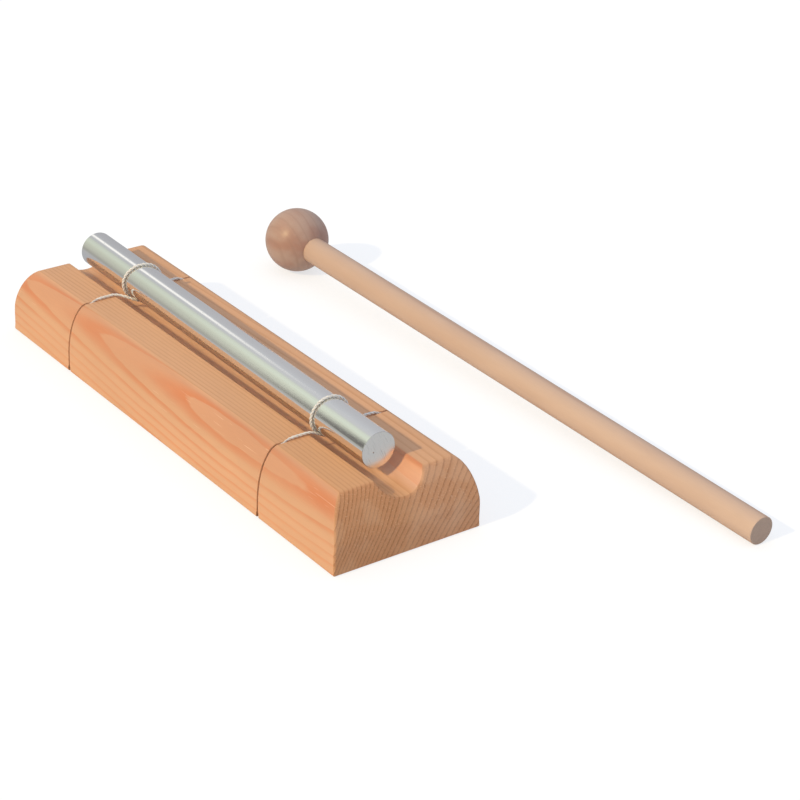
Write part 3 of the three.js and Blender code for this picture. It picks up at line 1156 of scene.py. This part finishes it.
    def end_face(self, end: int, ring: np.ndarray, upper: int) -> np.ndarray:
        """The end's face, ruled from the outline down to the foot line, bent to the end's curve.

        Each line runs from an outline point to the underside point below it, and its distance along
        the block at any height is end_reach of that height.

        Args:
            end: -1 or 1.
            ring: the last ring of the arris at that end.
            upper: how many of its points lie above the underside.

        Returns:
            A (face_rows, upper, 3) array.
        """
        top = ring[:upper]
        bottom = np.concatenate([ring[:1], ring[upper:][::-1], ring[upper - 1:upper]])
        share = np.linspace(0, 1, self.face_rows)[:, None, None]
        face = top + (bottom - top) * share
        face[..., 0] = end * self.end_reach(face[..., 2])
        return face

    def surface(self) -> Mesh:
        """All the block's surface but the knots' pockets, as points and quads.

        Returns:
            The points and the quads.
        """
        loop, inward, upper = self.outline()
        arris = np.linspace(0, np.pi / 2, self.arris_steps)
        rings = [self.end_ring(-1, turn, loop, inward, upper) for turn in arris[::-1]]
        for kerf in self.kerfs:
            cut = self.kerf_rings(kerf, loop, inward, upper)
            rings += self.between(rings[-1], cut[0]) + cut
        last = self.end_ring(1, arris[0], loop, inward, upper)
        rings += self.between(rings[-1], last)
        rings += [self.end_ring(1, turn, loop, inward, upper) for turn in arris]
        points = np.stack(rings)
        parts = [(points.reshape(-1, 3), grid_quads(len(rings), len(loop), wrap=True))]
        for end, ring in ((-1, rings[0]), (1, rings[-1])):
            face = self.end_face(end, ring, upper)
            parts.append((face.reshape(-1, 3), grid_quads(face.shape[0], upper)))
        return joined(parts)

    def pocket_cutter(self) -> bpy.types.Object:
        """The round pockets under the two kerfs, as one cutting body.

        Returns:
            The cutter, which build() removes again.
        """
        radius, top = self.pocket_radius, self.pocket_depth
        profile = np.array([[-top, 0], [-top, radius], [top, radius], [top, 0]])
        parts = [lathe(profile, self.pocket_sides, Vector((kerf, 0, 0)), ALMOST_UP) for kerf in self.kerfs]
        return make_object("pocket_cutter", *joined(parts))

    def build(self) -> bpy.types.Object:
        """Makes the block, cuts its pockets and dresses it.

        Returns:
            The block.
        """
        block = make_object("block", *self.surface())
        cutter = self.pocket_cutter()
        cut = block.modifiers.new("pockets", "BOOLEAN")
        cut.operation = "DIFFERENCE"
        cut.solver = "EXACT"
        cut.object = cutter
        settled = bpy.data.meshes.new_from_object(block.evaluated_get(bpy.context.evaluated_depsgraph_get()))
        block.modifiers.remove(cut)
        block.data = settled
        bpy.data.objects.remove(cutter)
        dress(block, self.wood.material())
        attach(block, "base")
        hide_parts("base_block")
        log.info("block: %d faces", len(block.data.polygons))
        return block


@dataclass
class ChimeRod:
    """The solid bar that rings, with a small chamfer at each end."""

    chamfer: float = 0.1 * MM
    ease_parts: int = 6
    sides: int = 256
    side_steps: int = 40
    metal: DrawnAluminium = field(default_factory=DrawnAluminium)

    def __post_init__(self) -> None:
        """Takes the bar's axis from its joint and its size from the frame."""
        roll = next(joint for joint in frame["joints"] if joint["name"] == "rod_roll")
        low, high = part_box("chime_rod")
        self.axis = Vector(roll["axis"]).normalized()
        self.centre = Vector(roll["pos_m"])
        self.radius = (high.z - low.z) / 2
        self.length = (high.x - low.x - 2 * self.radius * abs(self.axis.y)) / self.axis.x

    def profile(self) -> np.ndarray:
        """The bar's outline along its axis: flat ends, a chamfer with eased edges, a straight side.

        Returns:
            An (n, 2) array of places along the axis and radii.
        """
        half = self.length / 2
        face = self.radius - self.chamfer
        ease = self.chamfer / self.ease_parts
        bend = ease / 3
        inner = half - 2 * self.chamfer
        near = np.array([
            [half, 0], [half, face / 2], [half, face - ease], [half - bend, face + bend],
            [half - self.chamfer + bend, self.radius - bend], [half - self.chamfer - ease, self.radius],
            [inner, self.radius]])
        along = np.linspace(inner, -inner, self.side_steps)[1:-1]
        middle = np.column_stack([along, np.full_like(along, self.radius)])
        return np.concatenate([near, middle, near[::-1] * [-1, 1]])

    def build(self) -> bpy.types.Object:
        """Makes and dresses the rod.

        Returns:
            The rod.
        """
        surface = lathe(self.profile(), self.sides, self.centre, self.axis)
        rod = make_object("rod", *surface, sharp_degrees=30)
        dress(rod, self.metal.material(self.centre, self.axis, self.radius))
        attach(rod, "rod")
        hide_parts("chime_rod")
        log.info("rod: %.1f mm long", self.length / MM)
        return rod


@dataclass
class Mallet:
    """The striker: a turned ball on a straight dowel."""

    reach: float = 253.1 * MM
    shaft_radius: float = 5.0 * MM
    socket_depth: float = 14.0 * MM
    socket_gap: float = 0.02 * MM
    socket_end_gap: float = 0.3 * MM
    lip_ease: float = 0.1 * MM
    end_ease: float = 0.25 * MM
    yaw_degrees: float = 1.75
    ball_steps: int = 96
    head_sides: int = 128
    shaft_steps: int = 60
    shaft_sides: int = 96
    inner_ease_steps: int = 5
    outer_ease_steps: int = 7
    head_wood: TurnedWood = TurnedWood(
        "head_wood", pale=linear(181, 150, 133), mid=linear(172, 131, 113), dark=linear(158, 122, 105),
        end=linear(150, 112, 92), pith=(30.0, 12.0), ring=1.6, line_share=0.28, fibre_depth=0.2,
        gloss=Span(0.3, 0.7, 0.34, 0.46), coat=0.1, end_share=0.0)
    shaft_wood: TurnedWood = TurnedWood(
        "shaft_wood", pale=linear(202, 171, 149), mid=linear(198, 166, 144), dark=linear(193, 155, 131),
        end=linear(176, 150, 132), pith=(-22.0, 16.0), ring=2.9, line_share=0.8, fibre_depth=0.12,
        gloss=Span(0.3, 0.7, 0.45, 0.58))

    def __post_init__(self) -> None:
        """Takes the ball's centre and radius from the frame, and works out the shaft's direction."""
        low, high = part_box("mallet_head")
        self.head_radius = (high.y - low.y) / 2
        self.centre = Vector((low.x + self.head_radius, (low.y + high.y) / 2, (low.z + high.z) / 2))
        sink = math.asin((self.head_radius - self.shaft_radius) / self.reach)
        yaw = math.radians(self.yaw_degrees)
        level = math.cos(sink)
        self.axis = Vector((level * math.cos(yaw), level * math.sin(yaw), -math.sin(sink)))
        self.bore = self.shaft_radius + self.socket_gap
        self.mouth = math.sqrt(self.head_radius ** 2 - self.bore ** 2)

    def head(self) -> bpy.types.Object:
        """The ball: a half circle with the socket's wall and floor, turned round the shaft's axis.

        Returns:
            The ball.
        """
        mouth_turn = math.degrees(math.atan2(self.bore + self.lip_ease, self.mouth))
        ball = arc((0, 0), self.head_radius, 180, mouth_turn, self.ball_steps)
        floor = self.mouth - self.socket_depth
        socket = np.array([[self.mouth - self.lip_ease, self.bore], [floor, self.bore], [floor, 0]])
        profile = np.concatenate([ball, socket])
        profile[0, 1] = 0
        made = make_object("head", *lathe(profile, self.head_sides, self.centre, self.axis))
        dress(made, self.head_wood.material(self.centre, self.axis))
        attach(made, "mallet")
        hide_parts("mallet_head")
        return made

    def shaft(self) -> bpy.types.Object:
        """The dowel: a straight profile with eased ends, turned round its axis.

        Returns:
            The shaft.
        """
        start = self.mouth - self.socket_depth + self.socket_end_gap
        ease = self.end_ease
        first, last = start + ease, self.reach - ease
        inner = arc((first, self.shaft_radius - ease), ease, 180, 90, self.inner_ease_steps)
        outer = arc((last, self.shaft_radius - ease), ease, 90, 0, self.outer_ease_steps)
        along = np.linspace(first, last, self.shaft_steps)[1:-1]
        middle = np.column_stack([along, np.full_like(along, self.shaft_radius)])
        profile = np.concatenate([
            [[start, 0]], inner, middle, outer, [[self.reach, self.shaft_radius / 2], [self.reach, 0]]])
        made = make_object("shaft", *lathe(profile, self.shaft_sides, self.centre, self.axis))
        dress(made, self.shaft_wood.material(self.centre, self.axis))
        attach(made, "mallet")
        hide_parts("mallet_shaft")
        return made

    def build(self) -> list[bpy.types.Object]:
        """Makes the ball and the shaft.

        Returns:
            Both pieces.
        """
        made = [self.head(), self.shaft()]
        log.info("mallet: %.1f mm from the ball's centre to the shaft's end", self.reach / MM)
        return made


def smooth_route(points: np.ndarray, per_span: int = 24) -> np.ndarray:
    """A smooth curve through points: the centripetal Catmull-Rom spline.

    Knots lie the square root of the chord apart, and each span is blended from the straight lines
    through its four nearest points, three times over.

    Args:
        points: an (n, 3) array.
        per_span: how many places each span gets.

    Returns:
        The curve's places, both ends included.
    """
    padded = np.concatenate([[2 * points[0] - points[1]], points, [2 * points[-1] - points[-2]]])
    knots = np.concatenate([[0], np.cumsum(np.linalg.norm(np.diff(padded, axis=0), axis=1) ** 0.5)])
    at = [padded[i:len(padded) - 3 + i][:, None, :] for i in range(4)]
    when = [knots[i:len(knots) - 3 + i][:, None, None] for i in range(4)]
    share = np.linspace(0, 1, per_span, endpoint=False)[None, :, None]
    now = when[1] + (when[2] - when[1]) * share

    def blend(first: np.ndarray, second: np.ndarray, start: np.ndarray, end: np.ndarray) -> np.ndarray:
        """The straight blend from first at start to second at end."""
        return (first * (end - now) + second * (now - start)) / (end - start)

    lines = [blend(at[i], at[i + 1], when[i], when[i + 1]) for i in range(3)]
    bends = [blend(lines[i], lines[i + 1], when[i], when[i + 2]) for i in range(2)]
    curve = blend(bends[0], bends[1], when[1], when[2])
    return np.concatenate([curve.reshape(-1, 3), points[-1:]])


def evenly(route: np.ndarray, step: float) -> np.ndarray:
    """A route's places again, at equal distances of about the step.

    Args:
        route: an (n, 3) array.
        step: the distance between two places.

    Returns:
        An array of the same kind.
    """
    travelled = np.concatenate([[0], np.cumsum(np.linalg.norm(np.diff(route, axis=0), axis=1))])
    marks = np.linspace(0, travelled[-1], round(travelled[-1] / step) + 1)
    return np.column_stack([np.interp(marks, travelled, route[:, i]) for i in range(3)])


def across_and_out(route: np.ndarray) -> tuple[np.ndarray, np.ndarray]:
    """Two directions square to a route: along the block's length as near as can be, and square to that.

    Args:
        route: an (n, 3) array.

    Returns:
        Two arrays of unit directions, one for each place.
    """
    along = np.gradient(route, axis=0)
    along /= np.linalg.norm(along, axis=1)[:, None]
    across = np.array([1.0, 0.0, 0.0]) - along[:, :1] * along
    across /= np.linalg.norm(across, axis=1)[:, None]
    return across, np.cross(along, across)


@dataclass
class Sling:
    """One loop of twisted cord: up a kerf, once round the rod, down the kerf, knotted underneath."""

    name: str
    kerf: float
    loop: float
    lean: float
    lean_middle: float
    lean_spread: float
    rod: ChimeRod
    block: BaseBlock
    fibre: bpy.types.Material
    diameter: float = 1.0 * MM
    clearance: float = 0.02 * MM
    bed_depth: float = 1.1 * MM
    corner_radius: float = 1.0 * MM
    kerf_gap: float = 0.1 * MM
    wrap_start: float = 236.0
    wrap_steps: int = 41
    lead_stride: int = 4
    lay: float = 3.1 * MM
    strand_share: float = 0.67
    ring_step: float = 0.25 * MM
    sides: int = 10
    lead_shares: tuple[tuple[float, float], ...] = (
        (1.0, -1.0), (0.9, -0.55), (0.8, 0.02), (0.7, 0.5), (0.57, 0.7), (0.42, 0.74), (0.26, 0.74),
        (0.09, 0.71), (-0.08, 0.42))
    bend_share: float = 0.09
    still_from: float = 10.5 * MM
    moves_from: float = 6.5 * MM
    crease_degrees: float = 60.0
    knot_size: float = 0.75 * MM
    knot_steps: int = 120
    knot_narrow: float = 0.7

    def wrap(self) -> np.ndarray:
        """The turn round the rod, and the stretch down to each lead.

        At an angle a from the top, the cord lies loop - lean * tanh((a - middle) / spread) along the rod.

        Returns:
            The turn's points, from the left lead's end to the right one's.
        """
        reach = 360 - self.wrap_start + 90
        from_top = np.radians(np.linspace(-reach, reach, self.wrap_steps))
        radius = self.rod.radius + self.clearance + self.diameter / 2
        rod_y = self.rod.axis.y / self.rod.axis.x * (self.loop - self.rod.centre.x)
        leaning = np.tanh((np.degrees(from_top) - self.lean_middle) / self.lean_spread)
        return np.column_stack([self.loop - self.lean * leaning,
                                rod_y - radius * np.sin(from_top),
                                self.rod.centre.z + radius * np.cos(from_top)])

    def lead(self, side: Side, loop_end: np.ndarray) -> np.ndarray:
        """One side's points from the channel's end, up the kerf and over the flat to the wrap.

        Args:
            side: which side.
            loop_end: the end of the turn round the rod that the lead runs to.

        Returns:
            The points, from the channel inwards.
        """
        block = self.block
        bed = block.channel_depth / 2
        wall = block.half_width - self.bed_depth
        rising = np.array([[wall - self.corner_radius, bed], [wall, bed + self.corner_radius]])
        half = block.half_section(Side.RIGHT)
        step = np.gradient(half, axis=0)
        step /= np.linalg.norm(step, axis=1)[:, None]
        bedded = (half + np.column_stack([step[:, 1], -step[:, 0]]) * self.bed_depth)[::-1]
        start = block.on_flat(side, self.lead_shares[0][0])
        keep = (bedded[:, 1] > bed + 2 * self.corner_radius) & (bedded[:, 0] > start + self.diameter)
        over = np.array([[block.on_flat(side, out), block.height + up * self.diameter]
                         for out, up in self.lead_shares])
        yz = np.concatenate([rising, bedded[keep][::self.lead_stride], over])
        bend = block.on_flat(side, self.bend_share)
        share = np.clip((bend - yz[:, 0]) / (bend - abs(loop_end[1])), 0, 1) * (yz[:, 1] > block.height)
        x = self.kerf + (loop_end[0] - self.kerf) * share ** 2 * (3 - 2 * share)
        return np.column_stack([x, yz[:, 0] * side.value, yz[:, 1]])

    def route(self) -> np.ndarray:
        """The cord's line from one side's channel over and round to the other's, in even steps.

        Returns:
            The line's places.
        """
        wrap = self.wrap()
        left = self.lead(Side.LEFT, wrap[0])
        right = self.lead(Side.RIGHT, wrap[-1])[::-1]
        return evenly(smooth_route(np.concatenate([left, wrap, right])), self.ring_step)

    def pressed(self, route: np.ndarray) -> np.ndarray:
        """How narrow the cord is at each place: pressed to the kerf's width inside it, else full.

        Args:
            route: the cord's line.

        Returns:
            The width at each place as a share of the diameter.
        """
        left, right = (self.block.on_flat(side, self.block.kerf_end_share) for side in Side)
        full_from = np.where(route[:, 1] < 0, left, right)
        free = np.clip((full_from - np.abs(route[:, 1])) / self.diameter + 1, 0, 1)
        narrow = (self.block.kerf_width - 2 * self.kerf_gap) / self.diameter
        return narrow + (1 - narrow) * free

    def strands(self, route: np.ndarray, travelled: np.ndarray, narrow: np.ndarray) -> tuple:
        """Two strands twisted round a route.

        Each strand's middle circles the route once in every lay, half a turn from the other, and its
        own section is a circle; then everything is drawn in across the route by the narrowing.

        Args:
            route: the cord's line.
            travelled: the distance along the cord at each place, which sets the twist.
            narrow: how far the cord is pressed together at each place.

        Returns:
            The points and the quads of both strands, with closed ends, and their map.
        """
        across, out = across_and_out(route)
        thick = self.strand_share * self.diameter / 2
        off = self.diameter / 2 - thick
        turn = np.linspace(0, 2 * np.pi, self.sides, endpoint=False)
        cosine, sine = np.cos(turn)[None, :, None], np.sin(turn)[None, :, None]
        marks = np.concatenate([travelled[:1], travelled, travelled[-1:]])
        parts, maps = [], []
        for start in (0.0, np.pi):
            twist = (start + 2 * np.pi * travelled / self.lay)[:, None]
            middle = route + off * (np.cos(twist) * across + np.sin(twist) * out)
            beside, above = across_and_out(middle)
            around = beside[:, None, :] * cosine + above[:, None, :] * sine
            ring = middle[:, None, :] + thick * around
            aside = np.einsum("rsk,rk->rs", ring - route[:, None, :], across)
            ring = ring + ((narrow - 1)[:, None] * aside)[..., None] * across[:, None, :]
            closed = np.concatenate([np.broadcast_to(middle[:1, None], ring[:1].shape), ring,
                                     np.broadcast_to(middle[-1:, None], ring[:1].shape)])
            parts.append((closed.reshape(-1, 3), grid_quads(len(closed), self.sides, wrap=True)))
            outermost = start / (2 * np.pi) + marks / self.lay
            maps.append(grid_map(marks / MM, outermost, self.sides))
        return (*joined(parts), np.concatenate(maps))

    def build(self) -> list[bpy.types.Object]:
        """Makes the two halves over the block, and the run and knot under the block.

        Returns:
            The three pieces.
        """
        route = self.route()
        travelled = np.arange(len(route)) * self.ring_step
        narrow = self.pressed(route)
        middle = len(route) // 2
        made = []
        for side, part in ((Side.LEFT, slice(0, middle + 1)), (Side.RIGHT, slice(middle, None))):
            points, quads, twist = self.strands(route[part], travelled[part], narrow[part])
            name = f"{self.name}_{side.name.lower()}"
            half = make_object(name, points, quads, self.crease_degrees, twist=twist)
            dress(half, self.fibre)
            side.value * self.still_from
            side.value * self.moves_from
            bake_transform(half)
            made.append(half)
        made.append(self.underneath(route[0], route[-1]))
        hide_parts(self.name + "_cord")
        log.info("%s sling: %.1f mm of cord over the block", self.name, travelled[-1] / MM)
        return made

    def underneath(self, left_end: np.ndarray, right_end: np.ndarray) -> bpy.types.Object:
        """The run in the channel under the block, and the overhand knot in its pocket.

        Args:
            left_end, right_end: where the cord leaves the two kerfs.

        Returns:
            The piece.
        """
        knot_height = self.block.pocket_depth / 2
        turn = np.linspace(0, 2 * np.pi, self.knot_steps)
        size = self.knot_size
        knot = np.column_stack([
            self.kerf + size * (np.sin(turn) + 2 * np.sin(2 * turn)),
            size * (np.cos(turn) - 2 * np.cos(2 * turn)),
            knot_height - size * np.sin(3 * turn)])
        paths = [knot]
        for side, end in ((Side.LEFT, left_end), (Side.RIGHT, right_end)):
            mouth = [self.kerf, side.value * self.block.pocket_radius, end[2]]
            paths.append(np.array([end, mouth, [self.kerf, 0, knot_height]]))
        parts, maps = [], []
        for path in paths:
            line = evenly(smooth_route(path), self.ring_step)
            travelled = np.arange(len(line)) * self.ring_step
            points, quads, twist = self.strands(line, travelled, np.full(len(line), self.knot_narrow))
            parts.append((points, quads))
            maps.append(twist)
        twist = np.concatenate(maps)
        made = make_object(self.name + "_knot", *joined(parts), self.crease_degrees, twist=twist)
        dress(made, self.fibre)
        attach(made, "base")
        return made


@dataclass
class Studio:
    """The floor, the lights and the camera round the object."""

    azimuth: float = 52.8303
    elevation: float = 27.6827
    roll: float = 2.2230
    target: tuple[float, float, float] = (19.31 * MM, 58.11 * MM, 0.0)
    distance: float = 851.32 * MM
    focal_pixels: float = 2420.64
    picture: float = 800.0
    middle_pixels: float = 0.5
    sensor: float = 36.0
    clip_end: float = 20.0
    floor_half: float = 3.0
    floor_drop: float = 0.1 * MM
    floor_colour: Colour = (0.9, 0.9, 0.9)
    floor_white: float = 1.12
    white_share: float = 0.62
    key_elevation: float = 34.9
    key_colour: Colour = (1.0, 0.806, 0.443)
    key_strength: float = 0.629 * math.pi
    key_spread: float = 2.0
    ambient: Colour = (0.639, 0.709, 0.84)
    horizon_share: float = 0.5
    zenith_share: float = 0.75
    walls: tuple[tuple[float, Colour], ...] = (
        (0, (0.50, 0.50, 0.52)), (42, (0.53, 0.53, 0.55)), (72, (0.57, 0.58, 0.60)),
        (94, (0.61, 0.615, 0.62)), (101, (0.62, 0.64, 0.60)), (110, (0.70, 0.745, 0.63)),
        (123, (0.735, 0.79, 0.66)),
        (134, (0.715, 0.75, 0.615)), (146, (0.65, 0.675, 0.555)), (163, (0.60, 0.605, 0.51)),
        (173, (0.53, 0.53, 0.45)), (182, (0.445, 0.44, 0.385)), (190, (0.45, 0.445, 0.415)),
        (197, (0.54, 0.535, 0.52)), (215, (0.52, 0.525, 0.54)), (360, (0.50, 0.50, 0.52)))
    full_turn: float = 360.0
    least_out: float = 0.01
    dim: Span = Span(1.1, 1.3, 0.0, -0.12)
    edge_from: float = 1.04
    edge_slope: float = 235.0
    below_edge: Span = Span(136.0, 162.0)
    above_foot: Span = Span(179.0, 187.0, 1.0, 0.0)
    dark_near: Span = Span(0.8, 1.0)
    dark_far: Span = Span(1.065, 1.155, 1.0, 0.0)
    strip_degrees: float = 76.0
    strip_across: Span = Span(0.0, 14.0, 1.0, 0.0)
    strip_from: Span = Span(1.10, 1.19)
    strip_colour: Colour = (1.13, 1.10, 1.04)
    dark_colour: Colour = (0.145, 0.138, 0.13)

    def camera(self) -> None:
        """A camera that looks at the target from its azimuth and elevation, rolled a little."""
        turn, rise, roll = (math.radians(angle) for angle in (self.azimuth, self.elevation, self.roll))
        back = Vector((math.sin(turn) * math.cos(rise), -math.cos(turn) * math.cos(rise), math.sin(rise)))
        right = Vector((math.cos(turn), math.sin(turn), 0))
        up = back.cross(right)
        rolled_right = math.cos(roll) * right + math.sin(roll) * up
        rolled_up = math.cos(roll) * up - math.sin(roll) * right
        stand = Matrix((rolled_right, rolled_up, back)).transposed().to_4x4()
        stand.translation = Vector(self.target) + self.distance * back
        data = bpy.data.cameras.new("camera")
        data.sensor_width = self.sensor
        data.lens = self.focal_pixels * self.sensor / self.picture
        data.shift_x = -self.middle_pixels / self.picture
        data.shift_y = self.middle_pixels / self.picture
        data.clip_end = self.clip_end
        holder = placed("camera", data)
        holder.matrix_world = stand
        bpy.context.scene.camera = holder

    def floor(self) -> None:
        """A plain pale floor, white to the camera but for the object's shadow; metal shows the room."""
        half, level = self.floor_half, -self.floor_drop
        corners = [(-half, -half, level), (half, -half, level), (half, half, level), (-half, half, level)]
        mesh = bpy.data.meshes.new("floor")
        mesh.from_pydata(corners, [], [[0, 1, 2, 3]])
        made = placed("floor", mesh)
        recipe = Recipe("floor")
        matt = recipe.step("BsdfDiffuse", {"Color": self.floor_colour})
        white = recipe.step("Emission", {"Color": WHITE, "Strength": self.floor_white})
        pale = recipe.step("MixShader", {0: recipe.seen() * self.white_share, 1: matt, 2: white})
        clear = recipe.step("BsdfTransparent")
        mixed = recipe.step("MixShader", {0: recipe.mirrored(), 1: pale, 2: clear})
        recipe.plug(recipe.tree.nodes["Material Output"].inputs["Surface"], mixed)
        recipe.tree.nodes.remove(recipe.shader)
        mesh.materials.append(recipe.material)

    def key(self) -> None:
        """A low warm light from the left."""
        lamp = bpy.data.lights.new("key", "SUN")
        lamp.color = self.key_colour
        lamp.energy = self.key_strength
        lamp.angle = math.radians(self.key_spread)
        rise = math.radians(self.key_elevation)
        towards = Vector((0, -math.cos(rise), math.sin(rise)))
        placed("key", lamp).rotation_euler = towards.to_track_quat("Z", "Y").to_euler()

    def metal_room(self, nodes: Nodes, x: Signal, y: Signal, z: Signal) -> Signal:
        """What the metal shows: long pale walls told apart by their angle round the block's length.

        The angle runs from +Y over the top. Far along towards -X a strip lamp runs beside the top, and
        nearer by a dark wall stands low on the left, whose upper edge falls away from the rod's near end.

        Args:
            nodes: the world's tree.
            x, y, z: the direction's parts.

        Returns:
            The colour.
        """
        around = nodes.math("DEGREES", nodes.math("ARCTAN2", z, y))
        turned = nodes.math("FLOORED_MODULO", around, self.full_turn)
        away = x * -1.0 / nodes.math("MAXIMUM", nodes.hypotenuse(y, z), self.least_out)
        stops = [(degrees / self.full_turn, colour) for degrees, colour in self.walls]
        shown = nodes.shade(nodes.ramp(turned / self.full_turn, stops), nodes.spread(away, self.dim))
        edge = (away - self.edge_from) * self.edge_slope
        under = nodes.spread(turned - edge, self.below_edge) * nodes.spread(turned, self.above_foot)
        across = nodes.spread(away, self.dark_near) * nodes.spread(away, self.dark_far)
        shown = nodes.mix(under * across, shown, self.dark_colour)
        off = abs(turned - self.strip_degrees)
        strip = nodes.spread(off, self.strip_across) * nodes.spread(away, self.strip_from)
        return nodes.mix(strip, shown, self.strip_colour)

    def room(self) -> None:
        """The room: white to the camera, and a cool light on the object that grows towards overhead."""
        world = bpy.data.worlds.new("room")
        world.use_nodes = True
        bpy.context.scene.world = world
        nodes = Nodes(world.node_tree)
        x, y, z = nodes.parts(nodes.step("TexCoord", output="Generated"))
        grown = nodes.math("MAXIMUM", z, 0.0) * self.zenith_share
        sky = nodes.shade(self.ambient, grown + (self.horizon_share - 1))
        light = nodes.mix(nodes.mirrored(), sky, self.metal_room(nodes, x, y, z))
        light = nodes.mix(nodes.seen(), light, WHITE)
        nodes.plug(nodes.tree.nodes["Background"].inputs["Color"], light)

    def build(self) -> None:
        """Sets the whole studio up."""
        self.camera()
        self.floor()
        self.key()
        self.room()
        bpy.context.scene.view_settings.view_transform = "Standard"
        log.info("studio ready")


def main() -> None:
    """Builds the studio and every piece, and reports each."""
    logging.basicConfig(level=logging.INFO, format="%(message)s")
    Studio().build()
    block = BaseBlock()
    block.build()
    rod = ChimeRod()
    rod.build()
    fibre = TwistedFibre().material()
    Sling("near", kerf=NEAR_KERF, loop=59.4 * MM, lean=0.8 * MM, lean_middle=20, lean_spread=70,
          rod=rod, block=block, fibre=fibre).build()
    Sling("far", kerf=FAR_KERF, loop=-60.0 * MM, lean=2.0 * MM, lean_middle=30, lean_spread=60,
          rod=rod, block=block, fibre=fibre).build()
    Mallet().build()


if __name__ == "__main__":
    main()
